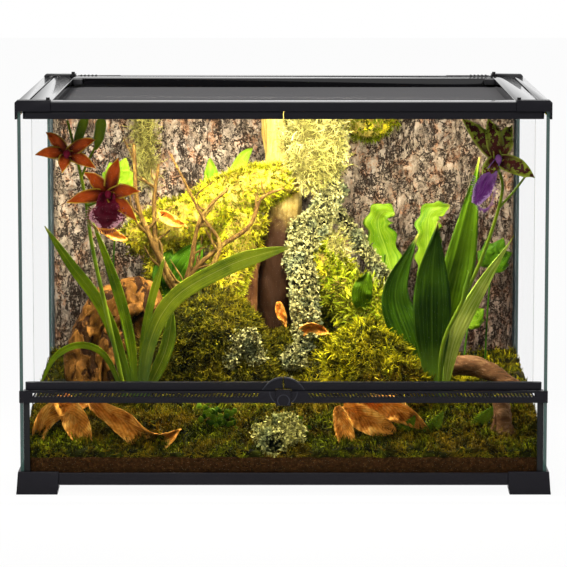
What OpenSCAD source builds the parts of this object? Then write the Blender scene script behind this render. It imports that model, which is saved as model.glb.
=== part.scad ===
// Front-opening glass terrarium with a lift-off screen cover and a planted landscape.
// Millimetres, +Z up, +X to the right, the doors face -Y, origin under the middle of the feet.

/* [Glass box] */
// Outer width over the side glass
glass_w = 605; // [560:5:660]
// Outer depth over the rear glass and the front edges of the side glass
glass_d = 449; // [430:1:480]
// Height of the side and rear glass
glass_h = 428; // [400:2:470]
// Thickness of every glass sheet
glass_t = 4; // [3:0.5:5]
// Height of the fixed front glass
front_glass_h = 98; // [85:1:125]
// Width of the black channels beside the fixed front glass
channel_w = 7; // [5:0.5:9]
// Width of the sealant beads in the rear corners
seal_w = 4.5; // [2:0.5:8]

/* [Base frame] */
// Height of a foot below the base rails
foot_drop = 10.6; // [6:0.2:16]
// Height of a base rail
base_rail_h = 14.4; // [11:0.2:20]
// Thickness of the floor of the base rails, which the glass stands on
base_floor = 3; // [2:0.5:5]
// Wall of the base rails outside the glass
base_wall = 2.5; // [1.5:0.5:4]
// Width of the ledge under the glass
base_ledge = 12; // [9:1:20]
// Length of each arm of a foot
foot_arm = 49; // [35:1:70]
// Width of the arms of a foot
foot_width = 19; // [16:1:30]
// Flare of a foot past the rails at the floor
foot_flare = 2.6; // [1:0.2:5]
// How far a foot stands above the base rails
foot_over = 1.3; // [0.5:0.1:4]
// Height of the stepped sole of a foot
sole_h = 5; // [3:0.5:8]
// Inset of that sole
sole_inset = 1.2; // [0.5:0.1:3]

/* [Vent strip] */
// Height of the vent strip
vent_h = 13.6; // [12:0.2:20]
// How far the strip reaches down over the fixed front glass
vent_grip = 5; // [4:0.5:7]
// Thickness of the walls of the strip
vent_wall = 1.6; // [1.2:0.1:2.5]
// Depth of the door sill on the strip, behind its face
sill_d = 14; // [11:0.5:18]
// Distance between two vent slots
slot_pitch = 4.15; // [3.5:0.05:6]
// Width of a vent slot
slot_w = 1.8; // [1:0.1:2.4]
// Height of a vent slot
slot_h = 4.6; // [3:0.1:6]
// Lean of a vent slot over its height
slot_lean = 2.8; // [0:0.1:4]
// Half width of the plain middle of the strip
vent_plain = 28; // [24:1:60]
// Radius of the raised round boss behind the latch
boss_r = 16.5; // [14:0.5:22]
// Height of that boss over the face of the strip
boss_rise = 0.8; // [0.4:0.1:1.5]

/* [Doors] */
// Height of a lower door rail
door_rail_h = 9; // [7:0.2:14]
// Height of an upper door rail
door_top_rail_h = 8.6; // [7:0.2:14]
// Thickness of a door rail, front to back
door_rail_t = 9; // [7:0.5:12]
// Depth of the glass in a door rail
door_grip = 6; // [4:0.5:6]
// Gap between the two doors
door_gap = 1.2; // [0.6:0.1:3]
// Gap above and below a door
door_clear = 0.4; // [0.3:0.1:1]
// Gap between a door and the side glass
door_side_gap = 2.1; // [1.5:0.1:4]
// Distance from a hinge axis to the edge of the door glass
door_edge = 5.5; // [5:0.5:12]
// Radius of a hinge pin
pin_r = 1.5; // [1:0.1:2]
// Running clearance of a hinge pin in its socket, on the radius
pin_fit = 0.08; // [0.04:0.01:0.1]
// Length of a hinge pin
pin_l = 11; // [8:1:14]
// Half width of the arch over the latch
arch_half = 24.7; // [20:0.5:35]
// Height of the arch over the door sill
arch_h = 15.6; // [13:0.2:24]
// Rim of the arch
arch_rim = 1.6; // [1:0.2:3]
// Half width of the finger slot between the arches
finger_half = 1.6; // [1:0.1:4]

/* [Latch] */
// Width of the latch button
latch_w = 17.8; // [14:0.2:24]
// Height of the latch button
latch_h = 16.7; // [15:0.1:22]
// Height of the lip on the latch
latch_lip = 2; // [1.5:0.1:4]
// How far the latch stands out of the strip
latch_out = 2; // [1:0.1:2.2]
// Travel of the latch
latch_travel = 3; // [2:0.5:4]
// Sliding clearance around the latch
latch_fit = 0.3; // [0.2:0.05:0.5]
// Radius of the spring coil
spring_r = 1; // [0.7:0.05:1.1]
// Radius of the spring wire
wire_r = 0.25; // [0.2:0.05:0.35]
// Turns of the spring
spring_turns = 5; // [4:1:7]

/* [Top frame] */
// Height of the top rails over the glass
top_rail_h = 10.2; // [9:0.2:16]
// Width of the side top rails
top_side_w = 12; // [9:0.5:16]
// Depth of the front top rail
top_front_d = 15.5; // [12:0.5:20]
// Depth of the rear top rail
top_rear_d = 16.5; // [16:0.5:22]
// Outer wall of the top frame over the glass
top_wall = 2.5; // [1.5:0.5:4]
// Depth of the skirt below the top of the glass
skirt_h = 9; // [6:0.5:14]
// Width of the ledge under the screen cover
ledge_w = 11; // [8:0.5:14]
// Thickness of that ledge
ledge_t = 2.5; // [2:0.5:4]
// Length of a corner block
block_l = 40.5; // [34:0.5:60]
// Height of a corner block over the glass
block_h = 12.5; // [11:0.5:20]
// Bevel on the outer top edge of a corner block
block_bevel = 2.5; // [1:0.5:4]

/* [Screen cover] */
// Gap between the screen cover and the side rails
cover_side_gap = 2.3; // [1:0.1:4]
// Gap between the cover and the front and rear rails
cover_gap = 2; // [1:0.1:3]
// Width of the side bars of the cover
cover_side_w = 25.5; // [22:0.5:40]
// Depth of the front bar of the cover
cover_front_d = 20; // [18:1:40]
// Depth of the rear bar of the cover
cover_rear_d = 38; // [20:1:60]
// How far the top of the cover lies below the front rail
cover_sink = 0.4; // [0.2:0.1:1]
// Depth of the cover bars below the top of the ledge
cover_drop = 4; // [3:0.5:6]
// Side of the spline groove
groove = 4; // [3:0.5:5]
// Thickness of the mesh
mesh_t = 0.6; // [0.4:0.1:1]
// Openings across the mesh
mesh_columns = 12; // [4:1:12]
// Openings from front to back of the mesh
mesh_rows = 9; // [3:1:12]
// Width between two openings of the mesh
mesh_bar = 14; // [8:1:20]
// Side of a corner gusset of the cover
key_side = 12; // [8:1:18]

/* [Screen clips] */
// Distance from the inner end of a corner block to a clip
clip_inset = 3.5; // [3.5:0.5:8]
// Radius of a clip knob
knob_r = 2.2; // [1.8:0.1:3]
// Height of a clip knob over its corner block
knob_h = 2.5; // [1.5:0.1:4]
// Width of the nose of a clip
clip_w = 4.4; // [3.5:0.1:5]
// Height of a clip below the top of its block
clip_h = 5; // [4:0.1:6]
// Reach of a closed clip past its block
clip_reach = 4.5; // [3.5:0.1:6]
// Travel of a clip
clip_travel = 4; // [3:0.5:6]
// Width of the ribs that hold a clip down in its slot
clip_rib = 1; // [0.6:0.1:1.5]
// Sliding clearance around a clip
clip_fit = 0.3; // [0.2:0.05:0.5]

/* [Cable inlets] */
// Distance from a corner block to the outer end of an inlet
inlet_gap = 2.5; // [2.5:0.5:20]
// Length of a sliding shutter
shutter_l = 27; // [22:1:32]
// Thickness of a shutter
shutter_t = 2; // [1.5:0.5:3]
// Width of the slot for the shutter
shutter_slot = 9; // [8:0.5:11]
// Height of the grip ridges
ridge_h = 1.5; // [1:0.5:2.5]
// Travel of a shutter
shutter_travel = 26; // [20:1:30]
// Width of the cable hole, front to back
cable_hole = 5.6; // [4.5:0.1:7]

/* [Landscape] */
// Thickness of the bark background
bark_t = 14; // [8:1:24]
// Gap between the bark background and the top of the glass
bark_gap = 12; // [12:1:40]
// Mean size of a flake of bark across
flake_w = 42; // [30:1:70]
// Mean height of a flake of bark
flake_h = 66; // [45:1:110]
// Gap round the landscape inside the glass
land_gap = 0.5; // [0.3:0.1:3]
// Thickness of the moss on the soil
moss_t = 12; // [8:1:20]
// Depth of the soil at the front
soil_front = 24; // [15:1:40]
// Depth of the soil at the back
soil_rear = 74; // [60:1:95]
// Thickness of an orchid leaf
leaf_t = 1.6; // [1:0.1:3]
// Thickness of a dried leaf
dry_t = 1.6; // [1:0.1:3]

/* [Hidden] */
$fn = 48;
past = 1;                                       // overrun of a cut past the face it opens

half_w = glass_w / 2;                           // outer face of the side glass
half_d = glass_d / 2;                           // outer face of the rear glass
in_w = half_w - glass_t;                        // inner face of the side glass
in_d = half_d - glass_t;                        // inner face of the rear glass
glass_z = foot_drop + base_floor;               // underside of all the glass
floor_z = glass_z + glass_t;                    // top of the bottom glass
frame_z = glass_z + glass_h;                    // underside of the top frame
base_x = half_w + base_wall;                    // outer face of the base side rails
base_y = half_d + base_wall + 0.5;              // outer face of the base front rail
foot_x = base_x + foot_flare;
foot_y = base_y + foot_flare;
foot_h = foot_drop + base_rail_h + foot_over;

front_glass_top = glass_z + front_glass_h;
vent_z = front_glass_top - vent_grip;           // underside of the vent strip
vent_top = vent_z + vent_h;                     // the door sill
vent_y = -half_d - 3.5;                         // face of the vent strip
web_z = front_glass_top + 1.2;                  // top of the web over the fixed front glass
slot_mid = (web_z + vent_top - vent_wall) / 2;
sill_y = vent_y + sill_d;

door_mid_y = -half_d + 1.5 + door_rail_t / 2 - 1;   // middle of the door rails
hinge_x = in_w - door_side_gap - door_rail_t / 2;
hinge_y = door_mid_y;
door_z = vent_top + door_clear;
door_top = frame_z - door_clear;

latch_z = vent_top - latch_h;
latch_y = vent_y - latch_out;
latch_back = vent_y + 2.4;
housing_y = -half_d;                            // back of the latch housing, against the glass
flange_out = 1.6;                               // width of the flanges that keep the latch in
flange_t = 1.2;
flange_h = 6;
flange_z = vent_top - 1.9 - flange_h;
shelf_t = 1.5;                                  // the shelf under the spring
shelf_z = vent_top - 11;
well_half = 2.6;                                // half width of the spring well in the latch
well_d = 2.9;
well_top = vent_top - 2.6;
thumb_d = 0.7;                                  // depth of the hollow for the thumb
spring_seat = shelf_z + shelf_t;

top_side_x = half_w + top_wall;                 // outer face of the top frame
top_front_y = -half_d - 3;
top_rear_y = half_d + 3;
rail_top = frame_z + top_rail_h;
side_in_x = top_side_x - top_side_w;            // inner edge of the side rails
front_in_y = top_front_y + top_front_d;
rear_in_y = top_rear_y - top_rear_d;
block_in_x = top_side_x - block_l;
block_proud = 1;                                // the blocks stand proud of the rails
ledge_top = frame_z + ledge_t;

cover_x = side_in_x - cover_side_gap;
cover_y0 = front_in_y + cover_gap;
cover_y1 = rear_in_y - cover_gap;
cover_top = rail_top - cover_sink;
cover_bot = ledge_top - cover_drop;
cover_in_x = cover_x - cover_side_w;
cover_in_y0 = cover_y0 + cover_front_d;
cover_in_y1 = cover_y1 - cover_rear_d;
lip_gap = 0.5;                                  // from the ledge to the deep part of the bars
lip = ledge_w - cover_side_gap + lip_gap;       // width of the bars' edge on the ledge
lip_y = ledge_w - cover_gap + lip_gap;
groove_in = 2;                                  // from the opening to the spline groove

clip_z = frame_z + block_h;
clip_tail = 7.5;                                // length of a clip inside its block
rib_h = 1.8;

clip_x = block_in_x + clip_inset;
inlet_x = block_in_x - inlet_gap;               // outer end of a cable inlet
shutter_y = rear_in_y + 2 + shutter_slot / 2;
shutter_z = rail_top - shutter_t - 0.5;
cable_y = rear_in_y + 3.4 + cable_hole / 2;

bark_y = in_d - bark_t;                         // front of the bark panel
bark_h = frame_z - bark_gap - floor_z;
land_x = in_w - land_gap;
land_y = -in_d + land_gap;

// A point of the landscape, in percent of the inner half width, half depth and glass height
function spot(p) = [p[0] * in_w / 100, p[1] * in_d / 100, floor_z + p[2] * (frame_z - floor_z) / 100];
function spots(path) = [for (p = path) spot(p)];
function unit(v) = v / norm(v);
function last(list) = len(list) - 1;
function along(path, i) = unit(path[min(i + 1, last(path))] - path[max(i - 1, 0)]);
function at_index(list, i) = list[min(i, last(list))];

// A closed tube of changing width along a path. The section is an ellipse, or a diamond with 4 sides.
module loft(path, widths, depths, sides, facing = [0, 1, 0]) {
    rings = [for (i = [0 : last(path)])
        let (run = along(path, i), across = unit(cross(run, facing)), out = cross(across, run))
        for (k = [0 : sides - 1])
            let (turn = 360 * k / sides)
            path[i] + across * at_index(widths, i) * cos(turn) + out * at_index(depths, i) * sin(turn)];
    start = [for (k = [sides - 1 : -1 : 0]) k];
    finish = [for (k = [0 : sides - 1]) last(path) * sides + k];
    skin = [for (i = [0 : last(path) - 1], k = [0 : sides - 1])
        let (next = (k + 1) % sides, a = i * sides, b = a + sides)
            each [[a + k, a + next, b + next], [a + k, b + next, b + k]]];
    polyhedron(rings, concat([start], skin, [finish]), convexity = 6);
}

module stick(points, radii, sides = 7) {
    loft(spots(points), radii, radii, sides);
}

// A blade leaf: thin, widest part way along, pointed at the tip
module leaf(points, half_width, facing = [0, 1, 0]) {
    path = spots(points);
    widths = [for (i = [0 : last(path)])
        let (share = i / last(path))
        max(0.5, half_width * (0.35 + 0.65 * sin(180 * pow(share, 0.8))) * (share < 1 ? 1 : 0))];
    loft(path, widths, [leaf_t / 2], 4, facing);
}

module box(low, high) {
    translate(low) cube(high - low);
}

// A profile given as [Y, Z] points, drawn out along X
module along_x(profile, from_x, to_x) {
    translate([from_x, 0, 0]) rotate([90, 0, 90]) linear_extrude(to_x - from_x) polygon(profile);
}

// A profile given as [X, Z] points, drawn out along Y
module along_y(profile, from_y, to_y) {
    translate([0, to_y, 0]) rotate([90, 0, 0]) linear_extrude(to_y - from_y) polygon(profile);
}

module right_side() {
    mirror([1, 0, 0]) children();
}

module rear_side() {
    mirror([0, 1, 0]) children();
}

// ---------- base frame ----------

// The foot at the front left corner
module foot() {
    arm = foot_arm;
    difference() {
        intersection() {
            along_y([[-foot_x, 0], [-foot_x + arm - sole_inset, 0], [-foot_x + arm - sole_inset, sole_h],
                [-foot_x + arm, sole_h], [-foot_x + arm, foot_h], [-base_x - 0.4, foot_h],
                [-foot_x + 0.6, sole_h]], -foot_y - past, 0);
            along_x([[-foot_y, 0], [-foot_y + arm - sole_inset, 0], [-foot_y + arm - sole_inset, sole_h],
                [-foot_y + arm, sole_h], [-foot_y + arm, foot_h], [-base_y - 0.4, foot_h],
                [-foot_y + 0.6, sole_h]], -foot_x - past, 0);
        }
        box([-half_w, -half_d, glass_z], [0, 0, foot_h + past]);
        box([-foot_x + foot_width, -foot_y + foot_width, -past], [0, 0, glass_z + past]);
    }
}

// A base rail along X at the front
module base_rail_x() {
    end = foot_x - foot_arm;
    along_x([[-base_y, foot_drop], [-base_y, foot_drop + base_rail_h], [-half_d, foot_drop + base_rail_h],
        [-half_d, glass_z], [-half_d + base_ledge, glass_z], [-half_d + base_ledge, foot_drop]], -end, end);
}

// A base rail along Y at the left
module base_rail_y() {
    end = foot_y - foot_arm;
    along_y([[-base_x, foot_drop], [-base_x, foot_drop + base_rail_h], [-half_w, foot_drop + base_rail_h],
        [-half_w, glass_z], [-half_w + base_ledge, glass_z], [-half_w + base_ledge, foot_drop]], -end, end);
}

module foot_front_left() { color("#26252a") foot(); }
module foot_front_right() { color("#26252a") right_side() foot(); }
module foot_rear_left() { color("#26252a") rear_side() foot(); }
module foot_rear_right() { color("#26252a") right_side() rear_side() foot(); }
module base_rail_front() { color("#222126") base_rail_x(); }
module base_rail_rear() { color("#222126") rear_side() base_rail_x(); }
module base_rail_left() { color("#222126") base_rail_y(); }
module base_rail_right() { color("#222126") right_side() base_rail_y(); }

// ---------- glass ----------

module side_glass() {
    box([-half_w, -half_d, glass_z], [-in_w, half_d, frame_z]);
}

module bottom_glass() {
    color("#b9d6cf", 0.4) box([-in_w, -in_d, glass_z], [in_w, in_d, floor_z]);
}

module left_glass() { color("#b9d6cf", 0.4) side_glass(); }
module right_glass() { color("#b9d6cf", 0.4) right_side() side_glass(); }

module rear_glass() {
    color("#b9d6cf", 0.4) box([-in_w, in_d, glass_z], [in_w, half_d, frame_z]);
}

module front_glass() {
    edge = in_w - channel_w;
    color("#b9d6cf", 0.4) box([-edge, -half_d, glass_z], [edge, -in_d, front_glass_top]);
}

module front_channels() {
    color("#16161a") for (side = [0, 1]) mirror([side, 0, 0])
        box([-in_w, -half_d, glass_z], [-in_w + channel_w, -in_d, front_glass_top]);
}

module rear_seals() {
    bead = [[-in_w, in_d], [-in_w + seal_w, in_d], [-in_w, in_d - seal_w]];
    color("#3d4246") for (side = [0, 1]) mirror([side, 0, 0])
        translate([0, 0, floor_z]) linear_extrude(frame_z - floor_z) polygon(bead);
}

// ---------- vent strip ----------

module vent_slots() {
    first = vent_plain + slot_lean;
    count = floor((half_w - 8 - first) / slot_pitch);
    for (side = [0, 1]) mirror([side, 0, 0])
        for (i = [0 : count - 1])
            translate([first + i * slot_pitch, 0, slot_mid - slot_h / 2])
                along_y([[0, 0], [slot_w, 0], [slot_w - slot_lean, slot_h], [-slot_lean, slot_h]],
                    vent_y - past, vent_y + vent_wall + past);
}

module vent_strip() {
    pocket = latch_w / 2 + latch_fit;
    color("#1f1e24") difference() {
        union() {
            along_x([[vent_y, vent_z], [vent_y, vent_top], [sill_y, vent_top],
                [sill_y, vent_top - vent_wall], [vent_y + vent_wall, vent_top - vent_wall],
                [vent_y + vent_wall, web_z], [-in_d + vent_wall, web_z],
                [-in_d + vent_wall, vent_z], [-in_d, vent_z], [-in_d, front_glass_top],
                [-half_d, front_glass_top], [-half_d, vent_z]], -in_w, in_w);
            for (side = [0, 1]) mirror([side, 0, 0])
                box([in_w - vent_wall, vent_y, vent_z], [half_w + 0.5, -half_d, vent_top]);
            for (side = [-1, 1])
                translate([side * hinge_x, hinge_y, web_z]) cylinder(r = pin_r + 2.2, h = vent_top - web_z);
            intersection() {
                translate([0, vent_y, vent_top]) rotate([90, 0, 0]) cylinder(r = boss_r, h = boss_rise);
                box([-boss_r, vent_y - 2, vent_z], [boss_r, vent_y, vent_top]);
            }
            box([-arch_half, vent_y, vent_z], [arch_half, housing_y, vent_top]);
        }
        vent_slots();
        for (side = [-1, 1])
            translate([side * hinge_x, hinge_y, web_z + 0.6])
                cylinder(r = pin_r + pin_fit, h = vent_h);
        // window for the latch, open at the top and bottom, with a wider cavity behind the face
        box([-pocket, vent_y - 2, vent_z - past], [pocket, latch_back + latch_fit, vent_top + past]);
        box([-pocket - flange_out, latch_back - flange_t - latch_fit, flange_z - latch_travel - latch_fit],
            [pocket + flange_out, latch_back + latch_fit, flange_z + flange_h + latch_fit]);
    }
    color("#1f1e24")
        box([-well_half + latch_fit, latch_back - well_d + latch_fit, shelf_z],
            [well_half - latch_fit, housing_y, spring_seat]);
}

// ---------- latch ----------

module latch() {
    half = latch_w / 2;
    color("#2b2a31") difference() {
        union() {
            box([-half, latch_y, latch_z], [half, latch_back, vent_top - 0.1]);
            box([-half + 1.4, latch_y + 0.4, vent_top - past], [half - 1.4, latch_y + 2.6, vent_top + latch_lip]);
            box([-half - flange_out + 0.1, latch_back - flange_t, flange_z],
                [half + flange_out - 0.1, latch_back, flange_z + flange_h]);
        }
        // hollow for the thumb
        translate([0, latch_y + thumb_d, latch_z + 6]) rotate([90, 0, 0])
            cylinder(r = half - 2.2, h = thumb_d + past);
        box([-half + 2.2, latch_y - past, latch_z + 1.2], [half - 2.2, latch_y + thumb_d, latch_z + 6]);
        // well for the spring and its shelf
        box([-well_half, latch_back - well_d, shelf_z - 0.5], [well_half, latch_back + past, well_top]);
    }
}

module latch_spring() {
    length = well_top - spring_seat - 2 * wire_r;
    steps = 14 * spring_turns;
    coil = [for (i = [0 : steps]) let (turn = 360 * spring_turns * i / steps)
        [spring_r * cos(turn), latch_back - well_d / 2 + spring_r * sin(turn),
            spring_seat + wire_r + length * i / steps]];
    color("silver") loft(coil, [wire_r], [wire_r], 5, [0, 0, 1]);
}

// ---------- doors (drawn on the left) ----------

module door_rail(low, high) {
    difference() {
        union() {
            box([-hinge_x, door_mid_y - door_rail_t / 2, low],
                [-door_gap / 2, door_mid_y + door_rail_t / 2, high]);
            translate([-hinge_x, door_mid_y, low]) cylinder(r = door_rail_t / 2, h = high - low);
        }
        children();
    }
}

module door_glass_block(low, high) {
    box([-hinge_x + door_edge, door_mid_y - glass_t / 2, low],
        [-door_gap / 2 - 0.2, door_mid_y + glass_t / 2, high]);
}

module door_glass() {
    color("#b9d6cf", 0.4)
        door_glass_block(door_z + door_rail_h - door_grip, door_top - door_top_rail_h + door_grip);
}

module door_pin(low) {
    translate([-hinge_x, hinge_y, low]) cylinder(r = pin_r, h = pin_l);
}

lower_pin_z = web_z + 1;
upper_pin_z = frame_z + block_h - 5.5 - pin_l;

module door_pins() {
    color("silver") {
        door_pin(lower_pin_z);
        door_pin(upper_pin_z);
    }
}

module arch_outline(rise) {
    radius = (arch_half * arch_half + rise * rise) / (2 * rise);
    intersection() {
        translate([0, rise - radius]) circle(r = radius, $fn = 120);
        translate([-arch_half, 0]) square([arch_half - door_gap / 2, rise]);
    }
}

module door_lower_rail() {
    front = door_mid_y - door_rail_t / 2;
    notch = latch_w / 2 + 0.6;
    color("#232228") difference() {
        union() {
            door_rail(door_z, door_z + door_rail_h)
                door_glass_block(door_z + door_rail_h - door_grip, door_z + door_rail_h + past);
            // half arch with a raised rim
            translate([0, front, door_z]) rotate([90, 0, 0]) linear_extrude(1.6) arch_outline(arch_h);
            translate([0, front - 1.6, door_z]) rotate([90, 0, 0]) linear_extrude(0.8) difference() {
                arch_outline(arch_h);
                translate([0, -past]) arch_outline(arch_h - arch_rim + past);
            }
            intersection() {
                translate([0, front + door_rail_t / 2 - glass_t / 2, door_z]) rotate([90, 0, 0])
                    linear_extrude(door_rail_t / 2 - glass_t / 2) arch_outline(arch_h);
                box([-arch_half, front, door_z + door_rail_h], [0, 0, door_z + arch_h]);
            }
        }
        box([-finger_half, front - 4, door_z + 6.5], [past, front + 1, door_z + 12.5]);
        box([-notch, front - 4, door_z - past], [past, front + door_rail_t + past, vent_top + latch_lip + 0.5]);
        door_pin(lower_pin_z);
    }
}

module door_upper_rail() {
    color("#232228") difference() {
        door_rail(door_top - door_top_rail_h, door_top)
            door_glass_block(door_top - door_top_rail_h - past, door_top - door_top_rail_h + door_grip);
        door_pin(upper_pin_z);
    }
}

module left_door_glass() { door_glass(); }
module left_door_lower_rail() { door_lower_rail(); }
module left_door_upper_rail() { door_upper_rail(); }
module left_door_pins() { door_pins(); }
module right_door_glass() { right_side() door_glass(); }
module right_door_lower_rail() { right_side() door_lower_rail(); }
module right_door_upper_rail() { right_side() door_upper_rail(); }
module right_door_pins() { right_side() door_pins(); }

// ---------- top frame ----------

module top_rail_front() {
    color("#26252a")
        along_x([[top_front_y, frame_z], [top_front_y, rail_top - 0.8], [top_front_y + 0.8, rail_top],
            [front_in_y, rail_top], [front_in_y, ledge_top], [front_in_y + ledge_w, ledge_top],
            [front_in_y + ledge_w, frame_z]], -block_in_x, block_in_x);
}

module inlet_cut() {
    low_x = inlet_x - shutter_l - shutter_travel - 1;
    box([low_x, shutter_y - shutter_slot / 2, shutter_z], [inlet_x, shutter_y + shutter_slot / 2, rail_top + past]);
    box([inlet_x - shutter_l + 3, cable_y - cable_hole / 2, frame_z - past],
        [inlet_x - 3, cable_y + cable_hole / 2, shutter_z + past]);
}

module top_rail_rear() {
    color("#26252a") difference() {
        along_x([[top_rear_y, frame_z - skirt_h], [top_rear_y, rail_top - 0.8], [top_rear_y - 0.8, rail_top],
            [rear_in_y, rail_top], [rear_in_y, ledge_top], [rear_in_y - ledge_w, ledge_top],
            [rear_in_y - ledge_w, frame_z], [half_d, frame_z], [half_d, frame_z - skirt_h]],
            -block_in_x, block_in_x);
        inlet_cut();
        right_side() inlet_cut();
    }
}

module top_side_rail() {
    side_top = rail_top - 0.7;
    along_y([[-top_side_x, frame_z - skirt_h], [-top_side_x, side_top], [-side_in_x, side_top],
        [-side_in_x, ledge_top], [-side_in_x + ledge_w, ledge_top], [-side_in_x + ledge_w, frame_z],
        [-half_w, frame_z], [-half_w, frame_z - skirt_h]], front_in_y, rear_in_y);
}

module top_rail_left() { color("#26252a") top_side_rail(); }
module top_rail_right() { color("#26252a") right_side() top_side_rail(); }

// A corner block on the left, between two Y positions
module block(from_y, to_y) {
    along_y([[-block_in_x, frame_z], [-block_in_x, frame_z + block_h],
        [-top_side_x + block_bevel, frame_z + block_h], [-top_side_x, frame_z + block_h - block_bevel],
        [-top_side_x, frame_z - skirt_h], [-half_w, frame_z - skirt_h], [-half_w, frame_z]],
        from_y, to_y);
}

// The slot of a clip, drawn like the clip with its travel and clearance
module clip_slot() {
    half = clip_w / 2 + clip_fit;
    long = clip_tail + clip_travel + clip_fit;
    box([-half, -long, -clip_h - clip_fit], [half, past, past]);
    box([-half - clip_rib, -long, -clip_h - clip_fit], [half + clip_rib, past, -clip_h + rib_h + clip_fit]);
}

module block_front() {
    difference() {
        block(top_front_y - block_proud, front_in_y);
        translate([-hinge_x, hinge_y, frame_z - past]) cylinder(r = pin_r + pin_fit, h = block_h - 4 + past);
        translate([-clip_x, front_in_y, clip_z]) clip_slot();
    }
}

module block_rear() {
    difference() {
        block(rear_in_y, top_rear_y + block_proud);
        translate([-clip_x, rear_in_y, clip_z]) rear_side() clip_slot();
    }
}

module block_front_left() { color("#28272c") block_front(); }
module block_front_right() { color("#28272c") right_side() block_front(); }
module block_rear_left() { color("#28272c") block_rear(); }
module block_rear_right() { color("#28272c") right_side() block_rear(); }

// ---------- screen cover ----------

module spline_ring(width, low, high) {
    far_x = cover_in_x + groove_in + groove;
    far_y0 = cover_in_y0 - groove_in - groove;
    far_y1 = cover_in_y1 + groove_in + groove;
    slack = (groove - width) / 2;
    difference() {
        box([-far_x + slack, far_y0 + slack, low], [far_x - slack, far_y1 - slack, high]);
        box([-far_x + slack + width, far_y0 + slack + width, low - past],
            [far_x - slack - width, far_y1 - slack - width, high + past]);
    }
}

// Open-topped notches of the cover that the clip noses stand in
module clip_notches() {
    half = clip_w / 2 + clip_rib + clip_fit;
    for (x = [-clip_x, clip_x])
        for (y = [front_in_y - past, rear_in_y + past - clip_reach - 2 * clip_fit - past])
            box([x - half, y, clip_z - clip_h - 2 * clip_fit],
                [x + half, y + clip_reach + 2 * clip_fit + past, clip_z]);
}

module cover_cuts() {
    difference() {
        children();
        spline_ring(groove, cover_bot - past, cover_bot + groove);
        clip_notches();
    }
}

module cover_bar_front() {
    color("#2a292e") cover_cuts()
        along_x([[cover_y0, ledge_top], [cover_y0, cover_top], [cover_in_y0, cover_top],
            [cover_in_y0, cover_bot], [cover_y0 + lip_y, cover_bot], [cover_y0 + lip_y, ledge_top]],
            -cover_in_x, cover_in_x);
}

module cover_bar_rear() {
    color("#2a292e") cover_cuts()
        along_x([[cover_y1, ledge_top], [cover_y1, cover_top], [cover_in_y1, cover_top],
            [cover_in_y1, cover_bot], [cover_y1 - lip_y, cover_bot], [cover_y1 - lip_y, ledge_top]],
            -cover_in_x, cover_in_x);
}

module cover_side_bar() {
    cover_cuts() difference() {
        along_y([[-cover_x, ledge_top], [-cover_x, cover_top], [-cover_in_x, cover_top],
            [-cover_in_x, cover_bot], [-cover_x + lip, cover_bot], [-cover_x + lip, ledge_top]],
            cover_y0, cover_y1);
        box([-cover_x - past, cover_y0 - past, cover_bot - past], [0, cover_y0 + lip_y, ledge_top]);
        box([-cover_x - past, cover_y1 - lip_y, cover_bot - past], [0, cover_y1 + past, ledge_top]);
    }
}

module cover_bar_left() { color("#2a292e") cover_side_bar(); }
module cover_bar_right() { color("#2a292e") right_side() cover_side_bar(); }

module cover_gussets() {
    color("#55565a") for (side = [0, 1]) mirror([side, 0, 0]) for (end = [0, 1]) {
        y = end == 0 ? cover_in_y0 : cover_in_y1 - key_side;
        box([-cover_in_x, y, ledge_top], [-cover_in_x + key_side, y + key_side, cover_top - 0.4]);
    }
}

module cover_mesh() {
    reach = groove_in + groove + 1;
    pitch_x = 2 * cover_in_x / mesh_columns;
    pitch_y = (cover_in_y1 - cover_in_y0) / mesh_rows;
    color("#5a5a5e") difference() {
        box([-cover_in_x - reach, cover_in_y0 - reach, cover_bot - mesh_t],
            [cover_in_x + reach, cover_in_y1 + reach, cover_bot]);
        for (i = [0 : mesh_columns - 1], j = [0 : mesh_rows - 1])
            translate([-cover_in_x + i * pitch_x, cover_in_y0 + j * pitch_y, 0])
                box([mesh_bar / 2, mesh_bar / 2, cover_bot - mesh_t - past],
                    [pitch_x - mesh_bar / 2, pitch_y - mesh_bar / 2, cover_bot + past]);
    }
}

module cover_spline() {
    color("#101013") spline_ring(groove - 0.4, cover_bot, cover_bot + groove - 0.6);
}

// ---------- screen clips ----------

// A sliding clip whose nose points to +Y, from the inner side of its block
module clip() {
    half = clip_w / 2;
    box([-half, -clip_tail, -clip_h], [half, clip_reach, 0]);
    box([-half - clip_rib, -clip_tail, -clip_h], [half + clip_rib, 0, -clip_h + rib_h]);
    translate([0, -clip_tail / 2, -past]) cylinder(r = knob_r, h = knob_h + past);
}

module clip_front_left() { color("#18181c") translate([-clip_x, front_in_y, clip_z]) clip(); }
module clip_front_right() { color("#18181c") translate([clip_x, front_in_y, clip_z]) clip(); }
module clip_rear_left() { color("#18181c") translate([-clip_x, rear_in_y, clip_z]) rear_side() clip(); }
module clip_rear_right() { color("#18181c") translate([clip_x, rear_in_y, clip_z]) rear_side() clip(); }

// ---------- cable inlet shutters ----------

module shutter() {
    ridges = 5;
    gap = 0.3;
    low_x = inlet_x - shutter_l;
    half = shutter_slot / 2 - gap;
    box([low_x, shutter_y - half, shutter_z], [inlet_x - gap, shutter_y + half, shutter_z + shutter_t]);
    for (i = [0 : ridges - 1])
        translate([low_x + 4 + i * (shutter_l - 8) / (ridges - 1), shutter_y - half, shutter_z + shutter_t])
            intersection() {
                rotate([-90, 0, 0]) cylinder(r = ridge_h, h = 2 * half);
                box([-5, 0, 0], [5, 2 * half, 5]);
            }
}

module shutter_right() { color("#1b1b1f") shutter(); }
module shutter_left() { color("#1b1b1f") right_side() shutter(); }

// ---------- landscape ----------

soil_face = floor_z + soil_front;
soil_back = floor_z + soil_rear;
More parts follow.
